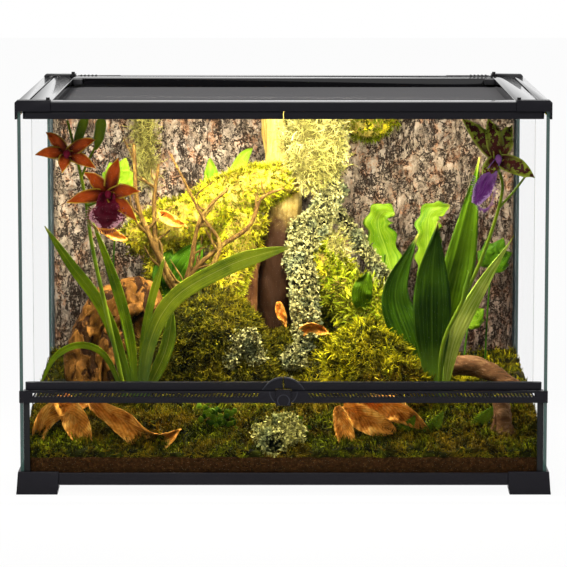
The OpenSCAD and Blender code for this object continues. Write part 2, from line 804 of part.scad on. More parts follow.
// Top of the soil from front to back, as [Y, Z]
ground = [[land_y + 2, soil_face], [land_y + 32, soil_face + 8], [land_y + 70, soil_face + 24],
    [land_y + 150, soil_back - 12], [bark_y, soil_back]];

module bark_background() {
    columns = floor(2 * land_x / flake_w);
    rows = floor((bark_h - soil_rear - 30) / flake_h);
    depth = rands(2, 7, columns * rows * 2, 11);
    nudge = rands(-0.12, 0.12, columns * rows * 2, 23);
    wide = 2 * land_x / columns;
    tall = (bark_h - soil_rear - 30) / rows;
    color("#7a6a60") {
        box([-in_w + seal_w, bark_y, floor_z], [in_w - seal_w, in_d, floor_z + bark_h]);
        for (i = [0 : columns - 1], j = [0 : rows - 1]) {
            n = i * rows + j;
            x = -land_x + (i + 0.5) * wide;
            z = soil_back + 30 + (j + 0.5 + 2 * nudge[n]) * tall;
            if (z + tall / 2 < floor_z + bark_h)
                translate([x, bark_y + 1, z]) rotate([90, 0, 0])
                    linear_extrude(1 + depth[n]) rotate(40 * nudge[n])
                    square([wide * 0.78, tall * 0.86], center = true);
        }
    }
}

module above_ground(rise) {
    along_x(concat(ground, [[bark_y, frame_z], [land_y + 2, frame_z]]), -land_x, land_x);
}

module soil() {
    color("#2a160c")
        along_x(concat([[land_y, floor_z], [land_y, soil_face]], ground, [[bark_y, floor_z]]), -land_x, land_x);
}

// Mounds of the moss: place in percent, radius in millimetres
mounds = [[-32, 10, 33, 72], [-47, 8, 24, 56], [-20, 0, 20, 58], [-4, -2, 14, 42], [20, 10, 22, 54],
    [38, 14, 20, 60], [56, 6, 13, 46], [4, 30, 22, 60], [80, 30, 12, 48], [-80, 34, 12, 50],
    [-52, 30, 24, 56], [-90, -60, 6, 36], [-62, -64, 6, 40], [-20, -66, 6, 44], [24, -64, 5, 40],
    [52, -64, 7, 40], [80, -62, 5, 40]];

module moss() {
    thick = [for (p = ground) [p[0], p[1] + moss_t]];
    back = [for (i = [last(ground) : -1 : 0]) ground[i]];
    color("#6d7a1c") intersection() {
        union() {
            along_x(concat(thick, back), -land_x, land_x);
            for (m = mounds) translate(spot([m[0], m[1], m[2]]) - [0, 0, m[3] * 0.35]) sphere(r = m[3]);
        }
        above_ground();
        box([-land_x, land_y, floor_z], [land_x, bark_y, frame_z]);
    }
}

module cork_trunk() {
    color("#c9a24e") {
        stick([[-1, 54, 97], [0, 52, 79], [0, 50, 65], [-3, 46, 49], [-4, 46, 32], [-3, 42, 12]],
            [25, 24, 22, 21, 20, 24], 9);
        stick([[-6, 46, 52], [-13, 44, 49], [-14, 36, 33], [-15, 28, 12]], [12, 10, 8, 10], 8);
    }
}

module mossy_log() {
    color("#9aa021") {
        stick([[-64, 36, 56], [-50, 36, 60], [-35, 36, 63], [-14, 36, 71], [2, 40, 74]], [18, 29, 33, 30, 20], 9);
        stick([[-16, 34, 64], [-20, 30, 54], [-25, 22, 42], [-28, 14, 26]], [28, 26, 26, 32], 9);
        stick([[-50, 36, 56], [-50, 34, 40], [-48, 30, 24]], [22, 18, 26], 9);
        stick([[12, 36, 53], [25, 30, 42], [42, 16, 33], [60, 5, 16]], [20, 24, 29, 19], 9);
        stick([[16, 38, 52], [14, 40, 36], [14, 38, 22]], [16, 18, 24], 9);
    }
}

module lichen() {
    color("#b9c08a") {
        stick([[23, 40, 72], [14, 36, 62], [8, 27, 52], [9, 14, 36], [11, 4, 15]], [10, 15, 14, 14, 16], 8);
        stick([[48, 42, 17], [44, 50, 40], [33, 52, 54], [21, 54, 66], [24, 64, 84]], [8, 8, 8, 7, 5]);
        translate(spot([0, -82, 9])) sphere(r = 26, $fn = 24);
        translate(spot([-17, -14, 28])) sphere(r = 23, $fn = 24);
    }
}

module twigs() {
    color("#6b4a2c") {
        stick([[-61, 12, 86], [-60, 12, 70], [-56, 12, 61], [-49, 10, 51], [-42, 8, 41], [-40, 8, 30]],
            [3.4, 3.6, 4, 4.4, 6, 7]);
        stick([[-51, 16, 80], [-53, 16, 68], [-51, 12, 52], [-42, 8, 41]], [3, 4, 4.4, 4]);
        stick([[-46, 10, 83], [-34, 10, 66], [-26, 10, 56], [-36, 8, 44], [-40, 8, 36]], [1.8, 2.4, 2.8, 3, 3]);
        stick([[-23, 14, 73], [-34, 12, 64], [-38, 10, 51], [-42, 8, 41]], [2.4, 3.2, 3.6, 4]);
        stick([[0, 14, 73], [-9, 14, 70], [-14, 13, 62], [-26, 12, 56], [-38, 10, 48], [-41, 8, 38]],
            [2.4, 2.8, 2.8, 3, 3.4, 4]);
    }
}

module stump() {
    color("#8a5a2e") {
        stick([[-84, 8, 14], [-81, 10, 31], [-69, 12, 41], [-56, 12, 41], [-51, 8, 29], [-54, 5, 14]],
            [20, 18, 20, 19, 15, 17], 9);
        stick([[-70, 12, 40], [-70, 6, 26], [-68, 2, 14]], [12, 10, 14], 8);
        stick([[-68, 14, 12], [-67, 12, 27], [-67, 12, 39]], [44, 46, 32], 10);
    }
}

module fallen_wood() {
    color("#7a5230") {
        stick([[57, -9, 22], [78, -9, 23], [95, -16, 17]], [10, 12, 10], 8);
        stick([[90, -54, 18], [90, -62, 11], [86, -72, 5]], [8, 7, 6], 8);
        stick([[90, -60, 12], [94, -72, 5]], [6, 5], 8);
    }
}

// A flower with five pointed petals; each petal is [tip, half width]
module flower(middle, tips, half_width, facing = [0, 1, 0]) {
    for (tip = tips) {
        mid = (middle * 0.45 + tip * 0.55) + [0, -3, 1];
        leaf([middle, mid, tip], half_width, facing);
    }
    translate(spot(middle)) sphere(r = 5, $fn = 16);
}

module left_orchid() {
    color("#5c9a1e") {
        leaf([[-59, -40, 15], [-66, -42, 32], [-73, -45, 44], [-84, -48, 55], [-94, -52, 66]], 9);
        leaf([[-59, -40, 15], [-61, -38, 32], [-66, -38, 47], [-76, -40, 67]], 8);
        leaf([[-58, -40, 15], [-55, -42, 36], [-51, -44, 48], [-47, -46, 57]], 6);
        leaf([[-57, -42, 15], [-53, -48, 33], [-43, -54, 46], [-23, -60, 55], [-8, -63, 59], [3, -66, 61]], 12);
        leaf([[-62, -46, 15], [-70, -52, 29], [-80, -56, 33], [-90, -60, 30], [-96, -62, 22]], 5);
        leaf([[-57, -38, 15], [-47, -40, 30], [-44, -42, 42]], 8);
        stick([[-62, -42, 14], [-70, -50, 42], [-75, -58, 60], [-78, -64, 77], [-84, -66, 96]],
            [3, 2.6, 2.4, 2.2, 1.6]);
        stick([[-77, -62, 72], [-72, -68, 74], [-68, -72, 76]], [2, 1.8, 1.8]);
        stick([[-68, -72, 76], [-69, -74, 70]], [2, 3]);
        stick([[-81, -65, 86], [-83, -67, 88], [-84, -70, 87]], [2, 1.8, 1.8]);
        stick([[-79, -64, 80], [-78, -66, 86], [-75, -66, 92]], [1.8, 1.8, 5]);
    }
    color("#8c2a1c") {
        flower([-68, -72, 76], [[-64, -74, 86], [-77, -72, 82], [-56, -74, 77], [-57, -76, 69],
            [-84, -76, 74]], 8);
        flower([-84, -70, 87], [[-92, -72, 93], [-97, -76, 87], [-73, -72, 91], [-73, -70, 83],
            [-86, -74, 82]], 7);
    }
    color("#8a1f4a") translate(spot([-69, -74, 70])) resize([34, 5, 28]) sphere(r = 10, $fn = 16);
}

module right_orchid() {
    color("#3f8a2a") {
        leaf([[66, -30, 16], [68, -30, 38], [73, -30, 60], [78, -32, 84]], 18);
        leaf([[62, -40, 16], [59, -44, 36], [59, -46, 52], [62, -48, 67]], 19);
        leaf([[61, -28, 16], [50, -26, 35], [46, -24, 50], [56, -24, 60]], 13);
        leaf([[66, -36, 16], [70, -40, 35], [79, -44, 48], [92, -48, 63]], 11);
        stick([[64, -44, 14], [65, -50, 34], [73, -56, 46], [86, -66, 63], [92, -72, 73], [93, -75, 79],
            [89, -78, 83]], [2.8, 2.6, 2.4, 2.2, 2, 2]);
        stick([[89, -78, 83], [83, -81, 76]], [2, 3]);
    }
    color("#7d7a3a") flower([89, -78, 83], [[77, -78, 93], [88, -78, 93], [97, -80, 89], [97, -82, 79],
        [81, -80, 80]], 8);
    color("#5b2a8a") translate(spot([83, -82, 76])) resize([26, 5, 22]) sphere(r = 9, $fn = 16);
}

// Three-lobed leaves on thin stems: place in percent, size and turn
lobed = [[-70, 66, 72, 30, 20], [43, 70, 57, 34, 0], [63, 70, 59, 32, -20], [88, 68, 48, 34, 30],
    [78, 58, 31, 28, 10], [-39, 22, 51, 26, 60], [-30, 70, 76, 20, 0], [-18, 70, 76, 20, -15]];

module lobed_outline(size) {
    polygon([for (i = [0 : 17]) let (turn = 20 * i, reach = size * (0.72 + 0.28 * cos(turn * 3)))
        [reach * cos(turn), reach * sin(turn)]]);
}

module foliage() {
    color("#7cc242") for (f = lobed) {
        translate(spot([f[0], f[1], f[2]])) rotate([90, f[4], 0]) linear_extrude(dry_t) lobed_outline(f[3]);
        stick([[f[0], f[1] - 0.3, f[2]], [f[0] - 2, f[1] - 4, f[2] * 0.6], [f[0] - 3, f[1] - 8, 12]], [1.4]);
    }
}

module dried_leaves() {
    color("#b5702e") {
        leaf([[-96, -82, 8], [-92, -78, 14], [-84, -74, 18], [-74, -74, 18]], 13);
        leaf([[-86, -72, 19], [-80, -80, 13], [-76, -84, 7]], 16);
        leaf([[-74, -73, 19], [-62, -80, 14], [-51, -84, 9], [-40, -84, 12]], 16);
        leaf([[22, -80, 18], [25, -84, 12], [24, -88, 4]], 12);
        leaf([[24, -75, 18], [34, -80, 14], [44, -80, 11]], 16);
        leaf([[8, 8, 35], [15, 6, 34], [22, 8, 31]], 8);
        leaf([[-2, 13, 41], [2, 12, 37], [9, 13, 33]], 7);
    }
}

foot_front_left();
foot_front_right();
foot_rear_left();
foot_rear_right();
base_rail_front();
base_rail_rear();
base_rail_left();
base_rail_right();
bottom_glass();
left_glass();
right_glass();
rear_glass();
front_glass();
front_channels();
rear_seals();
vent_strip();
left_door_glass();
left_door_lower_rail();
left_door_upper_rail();
left_door_pins();
right_door_glass();
right_door_lower_rail();
right_door_upper_rail();
right_door_pins();
latch();
latch_spring();
top_rail_front();
top_rail_rear();
top_rail_left();
top_rail_right();
block_front_left();
block_front_right();
block_rear_left();
block_rear_right();
cover_bar_front();
cover_bar_rear();
cover_bar_left();
cover_bar_right();
cover_gussets();
cover_mesh();
cover_spline();
clip_front_left();
clip_front_right();
clip_rear_left();
clip_rear_right();
shutter_left();
shutter_right();
bark_background();
soil();
moss();
cork_trunk();
mossy_log();
twigs();
stump();
fallen_wood();
left_orchid();
right_orchid();
foliage();
dried_leaves();
lichen();
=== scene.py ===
import math
import random
import bmesh
import bpy
from mathutils import Matrix, Vector, noise
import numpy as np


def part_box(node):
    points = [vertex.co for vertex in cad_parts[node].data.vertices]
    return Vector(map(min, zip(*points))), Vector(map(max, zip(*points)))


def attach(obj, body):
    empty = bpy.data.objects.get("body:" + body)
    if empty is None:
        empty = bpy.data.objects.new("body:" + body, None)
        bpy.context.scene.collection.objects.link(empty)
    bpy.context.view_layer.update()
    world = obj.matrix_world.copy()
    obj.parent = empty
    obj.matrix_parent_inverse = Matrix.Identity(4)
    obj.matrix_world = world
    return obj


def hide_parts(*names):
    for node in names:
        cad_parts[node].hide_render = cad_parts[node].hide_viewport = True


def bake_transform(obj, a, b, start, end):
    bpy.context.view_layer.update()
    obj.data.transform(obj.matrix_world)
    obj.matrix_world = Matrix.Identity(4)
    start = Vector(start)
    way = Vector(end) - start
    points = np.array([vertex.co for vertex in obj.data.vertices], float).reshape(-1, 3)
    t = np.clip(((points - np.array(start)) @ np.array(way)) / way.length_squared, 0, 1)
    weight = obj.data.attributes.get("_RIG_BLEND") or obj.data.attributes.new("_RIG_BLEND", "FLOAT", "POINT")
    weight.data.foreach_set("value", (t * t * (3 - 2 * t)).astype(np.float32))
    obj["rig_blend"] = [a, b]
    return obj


noise.seed_set(4)  # without it the bark's cracks change from run to run
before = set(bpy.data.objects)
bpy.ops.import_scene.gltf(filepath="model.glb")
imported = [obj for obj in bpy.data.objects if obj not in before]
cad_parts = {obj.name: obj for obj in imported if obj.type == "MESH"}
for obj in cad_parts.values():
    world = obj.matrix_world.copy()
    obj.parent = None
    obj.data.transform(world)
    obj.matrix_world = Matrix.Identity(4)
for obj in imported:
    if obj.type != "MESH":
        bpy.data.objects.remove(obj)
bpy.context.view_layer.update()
mm = 0.001
fullTurn = 6.283

# the planted space inside the glass, and places in it as percent of half width, half depth and height
cabinX = -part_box("left_glass")[1].x
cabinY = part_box("rear_glass")[0].y
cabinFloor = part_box("bottom_glass")[1].z
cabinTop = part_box("left_glass")[1].z


def spot(x, y, z):
    return Vector((x * cabinX / 100, y * cabinY / 100, cabinFloor + z * (cabinTop - cabinFloor) / 100))


def spots(places):
    return [spot(*p) for p in places]


camera = {"distance": 3.7486, "height": 0.72556, "pitch": 6.724, "lens": 197.65, "shift": -0.1008,
          "sensor": 36, "reach": 50}
lights = {
    "key": {"place": (-1.1, -2.6, 2.0), "aim": (0, 0, 0.25), "size": 1.1, "power": 54, "colour": (1, 0.97, 0.92)},
    "fill": {"place": (1.7, -2.1, 2.5), "aim": (0, 0, 0.2), "size": 1.6, "power": 12, "colour": (0.98, 0.98, 1)},
    "hood": {"place": (-0.02, -0.08, 0.412), "aim": (-0.01, 0.1, 0.0), "size": 0.55, "depth": 0.1, "power": 8.8,
             "colour": (1, 0.94, 0.8)},
}
studio = {"ambient": 0.25, "background": 1.0, "floorSize": 9.0, "floorColour": (0.92, 0.92, 0.92),
          "floorWhite": 0.96, "floorRoughness": 0.9}


def stand(name, data):
    thing = bpy.data.objects.new(name, data)
    bpy.context.scene.collection.objects.link(thing)
    return thing


# faces are sorted, since the order in which they are made changes from run to run and moves what is scattered on them
def toMesh(bm, name, smooth=False, ordered=True):
    bm.verts.index_update()
    count = len(bm.verts)

    def rank(face):
        low, second, *_, high = sorted(v.index for v in face.verts)
        return (low * count + second) * count + high

    if ordered:
        bm.faces.sort(key=rank)
    mesh = bpy.data.meshes.new(name)
    bm.to_mesh(mesh)
    bm.free()
    if smooth:
        for face in mesh.polygons:
            face.use_smooth = True
    return mesh


def layered(*names):
    bm = bmesh.new()
    for name in names:
        bm.verts.layers.float.new(name)
    return bm


def placeCamera():
    eye = bpy.data.cameras.new("camera")
    eye.lens = camera["lens"]
    eye.sensor_width = camera["sensor"]
    eye.shift_y = camera["shift"]
    eye.clip_end = camera["reach"]
    view = stand("camera", eye)
    view.location = (0, -camera["distance"], camera["height"])
    view.rotation_euler = (math.radians(90 - camera["pitch"]), 0, 0)
    bpy.context.scene.camera = view


def placeLights():
    for name, lamp in lights.items():
        area = bpy.data.lights.new(name, "AREA")
        area.shape = "ELLIPSE"
        area.size = lamp["size"]
        area.size_y = lamp.get("depth", lamp["size"])
        area.energy = lamp["power"]
        area.color = lamp["colour"]
        holder = stand(name, area)
        holder.location = lamp["place"]
        holder.rotation_euler = (Vector(lamp["aim"]) - holder.location).to_track_quat("-Z", "Y").to_euler()
        holder.visible_camera = False


class Socket:
    def __init__(self, nodes, link):
        self.nodes = nodes
        self.link = link

    def maths(self, operation, *values):
        return self.nodes.add("ShaderNodeMath", {"operation": operation}, dict(enumerate(values)))

    def __add__(self, other): return self.maths("ADD", self, other)
    def __radd__(self, other): return self.maths("ADD", other, self)
    def __sub__(self, other): return self.maths("SUBTRACT", self, other)
    def __rsub__(self, other): return self.maths("SUBTRACT", other, self)
    def __mul__(self, other): return self.maths("MULTIPLY", self, other)
    def __pow__(self, other): return self.maths("POWER", self, other)
    def __abs__(self): return self.maths("ABSOLUTE", self)
    def __gt__(self, other): return self.maths("GREATER_THAN", self, other)
    def larger(self, other): return self.maths("MAXIMUM", self, other)
    def output(self, name): return Socket(self.nodes, self.link.node.outputs[name])


class Nodes:
    def __init__(self, tree):
        self.tree = tree
        tree.nodes.clear()

    def feed(self, socket, value):
        if isinstance(value, Socket):
            self.tree.links.new(value.link, socket)
        else:
            if socket.type == "RGBA" and len(value) == 3:
                value = (*value, 1)
            socket.default_value = value

    def add(self, kind, settings=None, inputs=None, output=0):
        node = self.tree.nodes.new(kind)
        for key, value in (settings or {}).items():
            setattr(node, key, value)
        for key, value in (inputs or {}).items():
            self.feed(node.inputs[key], value)
        return Socket(self, node.outputs[output])


class Shader(Nodes):
    def __init__(self, name, kind="Material"):
        self.kind = kind
        self.holder = (bpy.data.worlds if kind == "World" else bpy.data.materials).new(name)
        self.holder.use_nodes = True
        super().__init__(self.holder.node_tree)

    def place(self, scale=(1, 1, 1), kind="Object"):
        where = self.add("ShaderNodeTexCoord", output=kind)
        return self.add("ShaderNodeMapping", {}, {"Vector": where, "Scale": scale})

    def noise(self, where, scale, detail=3, roughness=0.55, distortion=0, output=0):
        return self.add("ShaderNodeTexNoise", {}, {
            "Vector": where, "Scale": scale, "Detail": detail, "Roughness": roughness,
            "Distortion": distortion}, output)

    def cloud(self, *amounts):
        return self.noise(self.place(), *amounts)

    def cells(self, where, scale, feature="F1"):
        return self.add("ShaderNodeTexVoronoi", {"feature": feature}, {"Vector": where, "Scale": scale}, "Distance")

    def ramp(self, value, *stops):
        made = self.add("ShaderNodeValToRGB", {}, {0: value})
        elements = made.link.node.color_ramp.elements
        while len(elements) < len(stops):
            elements.new(0.5)
        for element, (place, colour) in zip(elements, stops):
            element.position = place
            element.color = (*colour, 1)
        return made

    def fade(self, value, low, high):
        return self.add("ShaderNodeMapRange", {"interpolation_type": "SMOOTHSTEP"}, {
            "Value": value, "From Min": low, "From Max": high})

    def mix(self, factor, a, b, blend="MIX"):
        return self.add("ShaderNodeMix", {"data_type": "RGBA", "blend_type": blend}, {0: factor, 6: a, 7: b}, 2)

    def sine(self, value):
        return self.add("ShaderNodeMath", {"operation": "SINE"}, {0: value})

    def axes(self, where=None):
        x = self.add("ShaderNodeSeparateXYZ", {}, {0: where or self.place()})
        return x, x.output(1), x.output(2)

    # along and across a blade
    def across(self):
        return self.axes(self.add("ShaderNodeTexCoord", output="UV"))[:2]

    # tones right of a place are multiplied by another
    def tingeRight(self, tone, start, tinge):
        return self.mix(self.fade(self.axes()[0], start - 0.05, start), tone, tinge, "MULTIPLY")

    def own(self, name):
        return self.add("ShaderNodeAttribute", {"attribute_name": name}, {}, "Fac")

    # 1 for a ray from the camera, off a shiny face or through a clear one
    def seen(self):
        camera, shiny, clear = (self.add("ShaderNodeLightPath", output=f"Is {ray} Ray")
                                for ray in ("Camera", "Glossy", "Transmission"))
        return camera.larger(shiny).larger(clear)

    def principled(self, **inputs):
        return self.add("ShaderNodeBsdfPrincipled", {}, {k.replace("_", " "): v for k, v in inputs.items()})

    def skin(self, tone, roughness, specular, relief, strength, distance, **others):
        bump = self.add("ShaderNodeBump", {}, {"Height": relief, "Strength": strength, "Distance": distance})
        return self.finish(self.principled(Base_Color=tone, Roughness=roughness, Specular_IOR_Level=specular,
                                           Normal=bump, **others))

    def finish(self, surface):
        end = self.tree.nodes.new("ShaderNodeOutput" + self.kind)
        self.feed(end.inputs["Surface"], surface)
        return self.holder


def lightStudio():
    sky = Shader("studio", "World")
    level = sky.add("ShaderNodeMapRange", {}, {
        "Value": sky.seen(), "To Min": studio["ambient"], "To Max": studio["background"]})
    bpy.context.scene.world = sky.finish(sky.add("ShaderNodeBackground", {}, {"Color": (1, 1, 1), "Strength": level}))
    bpy.context.scene.view_settings.view_transform = "Standard"
    s = Shader("studioFloor")
    white = s.add("ShaderNodeEmission", {}, {"Color": (1, 1, 1), "Strength": 1.0})
    paint = s.principled(Base_Color=studio["floorColour"], Roughness=studio["floorRoughness"])
    bm = bmesh.new()
    bmesh.ops.create_grid(bm, x_segments=1, y_segments=1, size=studio["floorSize"])
    mesh = toMesh(bm, "floor")
    mesh.materials.append(s.finish(s.add("ShaderNodeMixShader", {}, {
        0: s.seen() * studio["floorWhite"], 1: paint, 2: white})))
    stand("floor", mesh)


def scaled(colour, amount):
    return [c * amount for c in colour]


def plastic(name, colour, roughness, grain=0.25, specular=0.35, coat=0.0, highlightRings=()):
    s = Shader(name)
    where = s.place()
    cloud = s.noise(where, 40, 3)
    pebble = s.noise(where, 2600, 2, 0.6)
    scuff = s.fade(s.noise(s.place((1, 1, 6)), 90, 4, 0.7), 0.55, 0.8)
    tone = s.mix(cloud, scaled(colour, 0.85), scaled(colour, 1.15))
    tone = s.mix(scuff * 0.25, tone, [min(1, c * 1.6 + 0.01) for c in colour])
    x, _, height = s.axes(where)
    # painted highlights: pale rings drawn where the rims would catch the light
    for ring in highlightRings:
        z = height - ring["z"]
        gap = abs((x * x + z * z) ** 0.5 - ring["radius"])
        line = s.fade(gap, ring["width"], ring["width"] * 0.4) * (z > ring["low"]) * (z * -1 > -ring["high"])
        tone = s.mix(line, tone, ring["tone"])
    return s.skin(tone, (cloud * 0.36 + scuff * 0.24 + 0.8) * roughness, specular, pebble, grain, 0.0001,
                  Coat_Weight=coat)


# sheets of glass, greener at the edges that stand across the thin axis
def sheetGlass(name, thin):
    s = Shader(name)
    edge = 1 - (abs(s.axes(s.add("ShaderNodeTexCoord", output="Normal"))[thin]) > 0.5)
    clear = s.principled(Base_Color=(0.01, 0.03, 0.025), Roughness=s.cloud(9, 3) * 0.03 + 0.01, Alpha=0.02,
                         Specular_IOR_Level=0.04)
    rim = s.principled(Base_Color=(0.006, 0.045, 0.036), Roughness=0.25, Alpha=0.96)
    return s.finish(s.add("ShaderNodeMixShader", {}, {0: edge, 1: clear, 2: rim}))


def brushedWire(name, colour, metallic, roughness):
    s = Shader(name)
    grain = s.noise(s.place((1, 1, 12)), 700, 3)
    return s.skin(s.mix(grain, scaled(colour, 0.8), colour), grain * 0.2 + roughness, 0.5 * metallic, grain, 0.15,
                  0.0001, Metallic=metallic)


def softRubber(name, colour):
    s = Shader(name)
    speck = s.cloud(1500, 3)
    return s.skin(s.mix(speck, scaled(colour, 0.8), scaled(colour, 1.2)), speck * 0.2 + 0.45, 0.5, speck, 0.3, 0.0002)


def barkFinish():
    s = Shader("crackedBark")
    depth = s.own("height")
    tall = s.place((1, 1, 0.34))

    def bent(reach, scale):
        return s.add("ShaderNodeMix", {"data_type": "VECTOR"}, {
            0: reach, 4: tall, 5: s.noise(s.place(), scale, 4, 0.7, output="Color")}, 1)

    wide = s.cells(bent(0.06, 45), 62, "DISTANCE_TO_EDGE")
    narrow = s.cells(bent(0.04, 90), 150, "DISTANCE_TO_EDGE")
    grain = s.noise(s.place((1, 1, 0.35)), 420, 6, 0.75, 0.3)
    blotch = s.noise(s.place((1, 1, 0.6)), 16, 5, 0.65)
    worn = s.noise(s.place((1, 1, 0.34)), 70, 5, 0.7)
    seam = s.fade(wide, 0.125, 0.045) * s.fade(worn, 0.4, 0.5)
    split = s.fade(narrow, 0.13, 0.03) * s.fade(s.cloud(48, 4, 0.7), 0.42, 0.56)
    pit = s.fade(s.noise(s.place((1, 1, 0.4)), 95, 6, 0.72), 0.36, 0.31)
    furrow = s.fade(abs(s.noise(s.place((1, 1, 0.26)), 40, 6, 0.62, 0.5) - 0.5), 0.022, 0.006)
    furrow = furrow * s.fade(blotch, 0.38, 0.5)
    rust = s.fade(wide, 0.32, 0.06) * s.fade(s.noise(s.place((1, 1, 0.6)), 60, 4, 0.7), 0.48, 0.6)
    x, _, z = s.axes()
    # painted shade: the bark is darker towards the bottom, more so on the right
    lowShade = s.fade(z + blotch * 0.05 - x * 0.24, 0.35, 0.1)
    level = grain * 0.45 + worn * 0.35 + depth * 0.2
    plate = s.ramp(level, (0.34, (0.17, 0.11, 0.068)), (0.48, (0.33, 0.255, 0.175)), (0.64, (0.52, 0.43, 0.315)))
    cool = s.ramp(level, (0.34, (0.14, 0.112, 0.092)), (0.62, (0.39, 0.335, 0.268)))
    tone = s.mix(s.fade(blotch, 0.46, 0.64) * 0.7, plate, cool)
    tone = s.mix(rust * 0.65, tone, s.mix(grain, (0.24, 0.075, 0.025), (0.6, 0.28, 0.11)))
    # darker where the relief is lowest: partly the bark's own colour in its hollows, partly painted shade in the
    # recesses
    tone = s.mix(s.fade(depth, 0.3, 0.1) * 0.6, tone, (0.06, 0.03, 0.018))
    tone = s.mix(split * 0.75, tone, (0.05, 0.026, 0.016))
    tone = s.mix(seam.larger(pit).larger(furrow) * 0.92, tone, (0.014, 0.007, 0.004))
    # the painted shade low on the bark is multiplied in here
    tone = s.mix(lowShade, tone, (0.42, 0.38, 0.4), "MULTIPLY")
    relief = grain * 0.5 + worn * 0.6 - split * 0.8 - seam - pit - furrow
    return s.skin(tone, 0.85 - grain * 0.15, 0.06, relief, 0.8, 0.002)


def soilFinish():
    s = Shader("cocoSoil")
    where = s.place()
    crumb = s.cells(where, 420)
    fibre = s.cloud(260, 5, 0.7)
    tone = s.ramp(fibre, (0.3, (0.009, 0.004, 0.001)), (0.58, (0.04, 0.017, 0.005)), (0.78, (0.12, 0.055, 0.018)))
    return s.skin(tone, 0.95, 0.03, crumb + fibre, 0.8, 0.0015)


def mossFinish(name, root, middle, tip, other, rightward=None):
    s = Shader(name)
    height = s.own("tip")
    tint = s.own("tint")
    patch = s.cloud(22, 4, 0.6)
    shade = s.cloud(60, 4, 0.6)
    fine = s.cloud(500, 2)
    # darker towards the foot of each blade: partly the moss's own colour, partly painted shade deep in the tufts
    tone = s.mix(s.fade(height, 0.05, 0.7), root, middle)
    tone = s.mix(s.fade(height, 0.5, 1) * s.fade(tint, 0.15, 0.9), tone, tip)
    tone = s.mix(s.fade(patch + tint * 0.25, 0.52, 0.75), tone, s.mix(height, root, other))
    tone = s.mix(s.fade(shade, 0.56, 0.4) * 0.75, tone, root)
    if rightward:
        tone = s.tingeRight(tone, *rightward)
    return s.skin(tone, 0.75 - fine * 0.1, 0.04, fine, 0.2, 0.0003)


def woodFinish(name, dark, middle, pale, along=(1, 1, 0.15), grainScale=170, bump=0.8, mossy=None, shadeBelow=None,
               pits=0):
    s = Shader(name)
    grain = s.noise(s.place(along), grainScale, 6, 0.65, 0.8)
    blotch = s.cloud(35, 4, 0.6)
    tone = s.ramp(grain * 0.65 + blotch * 0.35, (0.32, dark), (0.5, middle), (0.66, pale))
    if mossy:
        tone = s.mix(s.fade(s.cloud(48, 4, 0.65), 0.5, 0.62), tone, mossy)
    if pits:
        # painted shade: near-black patches stand in for the dark insides of holes
        holeShade = s.fade(s.noise(s.place((1, 1, 0.7)), pits, 3, 0.5, 0.6), 0.51, 0.59)
        tone = s.mix(holeShade * 0.9, tone, (0.006, 0.002, 0.001))
        grain = grain - holeShade
    if shadeBelow:
        dim = s.fade(s.axes()[2] + blotch * 0.08, shadeBelow + 0.07, shadeBelow + 0.01)
        tone = s.mix(dim, tone, s.mix(grain, (0.006, 0.0025, 0.001), (0.035, 0.014, 0.005)))
    return s.skin(tone, 0.8 - grain * 0.2, 0.06, grain, bump, 0.0015)


def leafFinish(name, deep, bright, edge, veins=9, gloss=0.38, base=None, rightward=None):
    s = Shader(name)
    run, side = s.across()
    stripe = s.sine(side * (veins * 2 * math.pi))
    cloud = s.cloud(24, 3)
    streak = s.noise(s.place((1.4, 16, 1), "UV"), 2, 4)
    fine = s.cloud(420, 3)
    rib = s.fade(abs(side - 0.5), 0.03, 0.0)
    tone = s.mix(s.fade(cloud * 0.5 + streak * 0.5, 0.4, 0.6), deep, bright)
    tone = s.mix(s.fade(stripe, 0.5, 1) * 0.16, tone, edge)
    tone = s.mix(rib * 0.45, tone, edge)
    tone = s.mix(s.fade(run, 0.93, 1.0) * 0.4, tone, (0.3, 0.26, 0.04))
    if base:
        tone = s.mix(s.fade(run, 0.3, 0.02), tone, base)
    if rightward:
        tone = s.tingeRight(tone, *rightward)
    return s.skin(tone, gloss + fine * 0.12, 0.05, stripe * 0.35 - rib + fine * 0.2, 0.3, 0.0004)


def petalFinish(name, throat, middle, rim, spots=None, flecks=None):
    s = Shader(name)
    run, side = s.across()
    veins = s.noise(s.place((3, 22, 1), "UV"), 1.6, 4)
    fine = s.cloud(900, 3)
    off = abs(side - 0.5)
    tone = s.mix(s.fade(run - off * 0.5, 0.0, 0.5), throat, middle)
    tone = s.mix(s.fade(veins, 0.45, 0.7) * 0.55, tone, throat)
    tone = s.mix(s.fade(off, 0.36, 0.48) * 0.5, tone, rim)
    tone = s.mix(s.fade(off * 0.7 + run * 0.5, 0.62, 0.82), tone, rim)
    if spots:
        blot = s.cloud(210, 3, 0.6)
        tone = s.mix(s.fade(blot - off * 0.5, 0.36, 0.42), tone, spots)
    if flecks:
        tone = s.mix(s.fade(off + run * 0.6 + s.cloud(520, 3) * 0.9, 1.22, 1.36), tone, flecks)
    return s.skin(tone, 0.5 - fine * 0.1, 0.08, veins + fine * 0.4, 0.4, 0.0005)


def driedFinish():
    s = Shader("driedLeaf")
    run, side = s.across()
    slant = s.sine((run * 11 + abs(side - 0.5) * -9) * (2 * math.pi))
    vein = s.fade(slant, 0.86, 1).larger(s.fade(abs(side - 0.5), 0.03, 0.0))
    cloud = s.cloud(70, 5, 0.65)
    fine = s.cloud(700, 4)
    tone = s.ramp(cloud, (0.3, (0.24, 0.07, 0.007)), (0.5, (0.7, 0.29, 0.036)), (0.72, (0.97, 0.6, 0.13)))
    tone = s.mix(vein * 0.3, tone, (0.95, 0.6, 0.13))
    tone = s.mix(s.fade(slant, -0.3, -0.9) * 0.28, tone, (0.16, 0.045, 0.006))
    tone = s.mix(s.fade(fine, 0.62, 0.75) * 0.5, tone, (0.12, 0.03, 0.008))
    return s.skin(tone, 0.62 - cloud * 0.15, 0.06, vein + fine * 0.5 + cloud, 0.7, 0.0008)


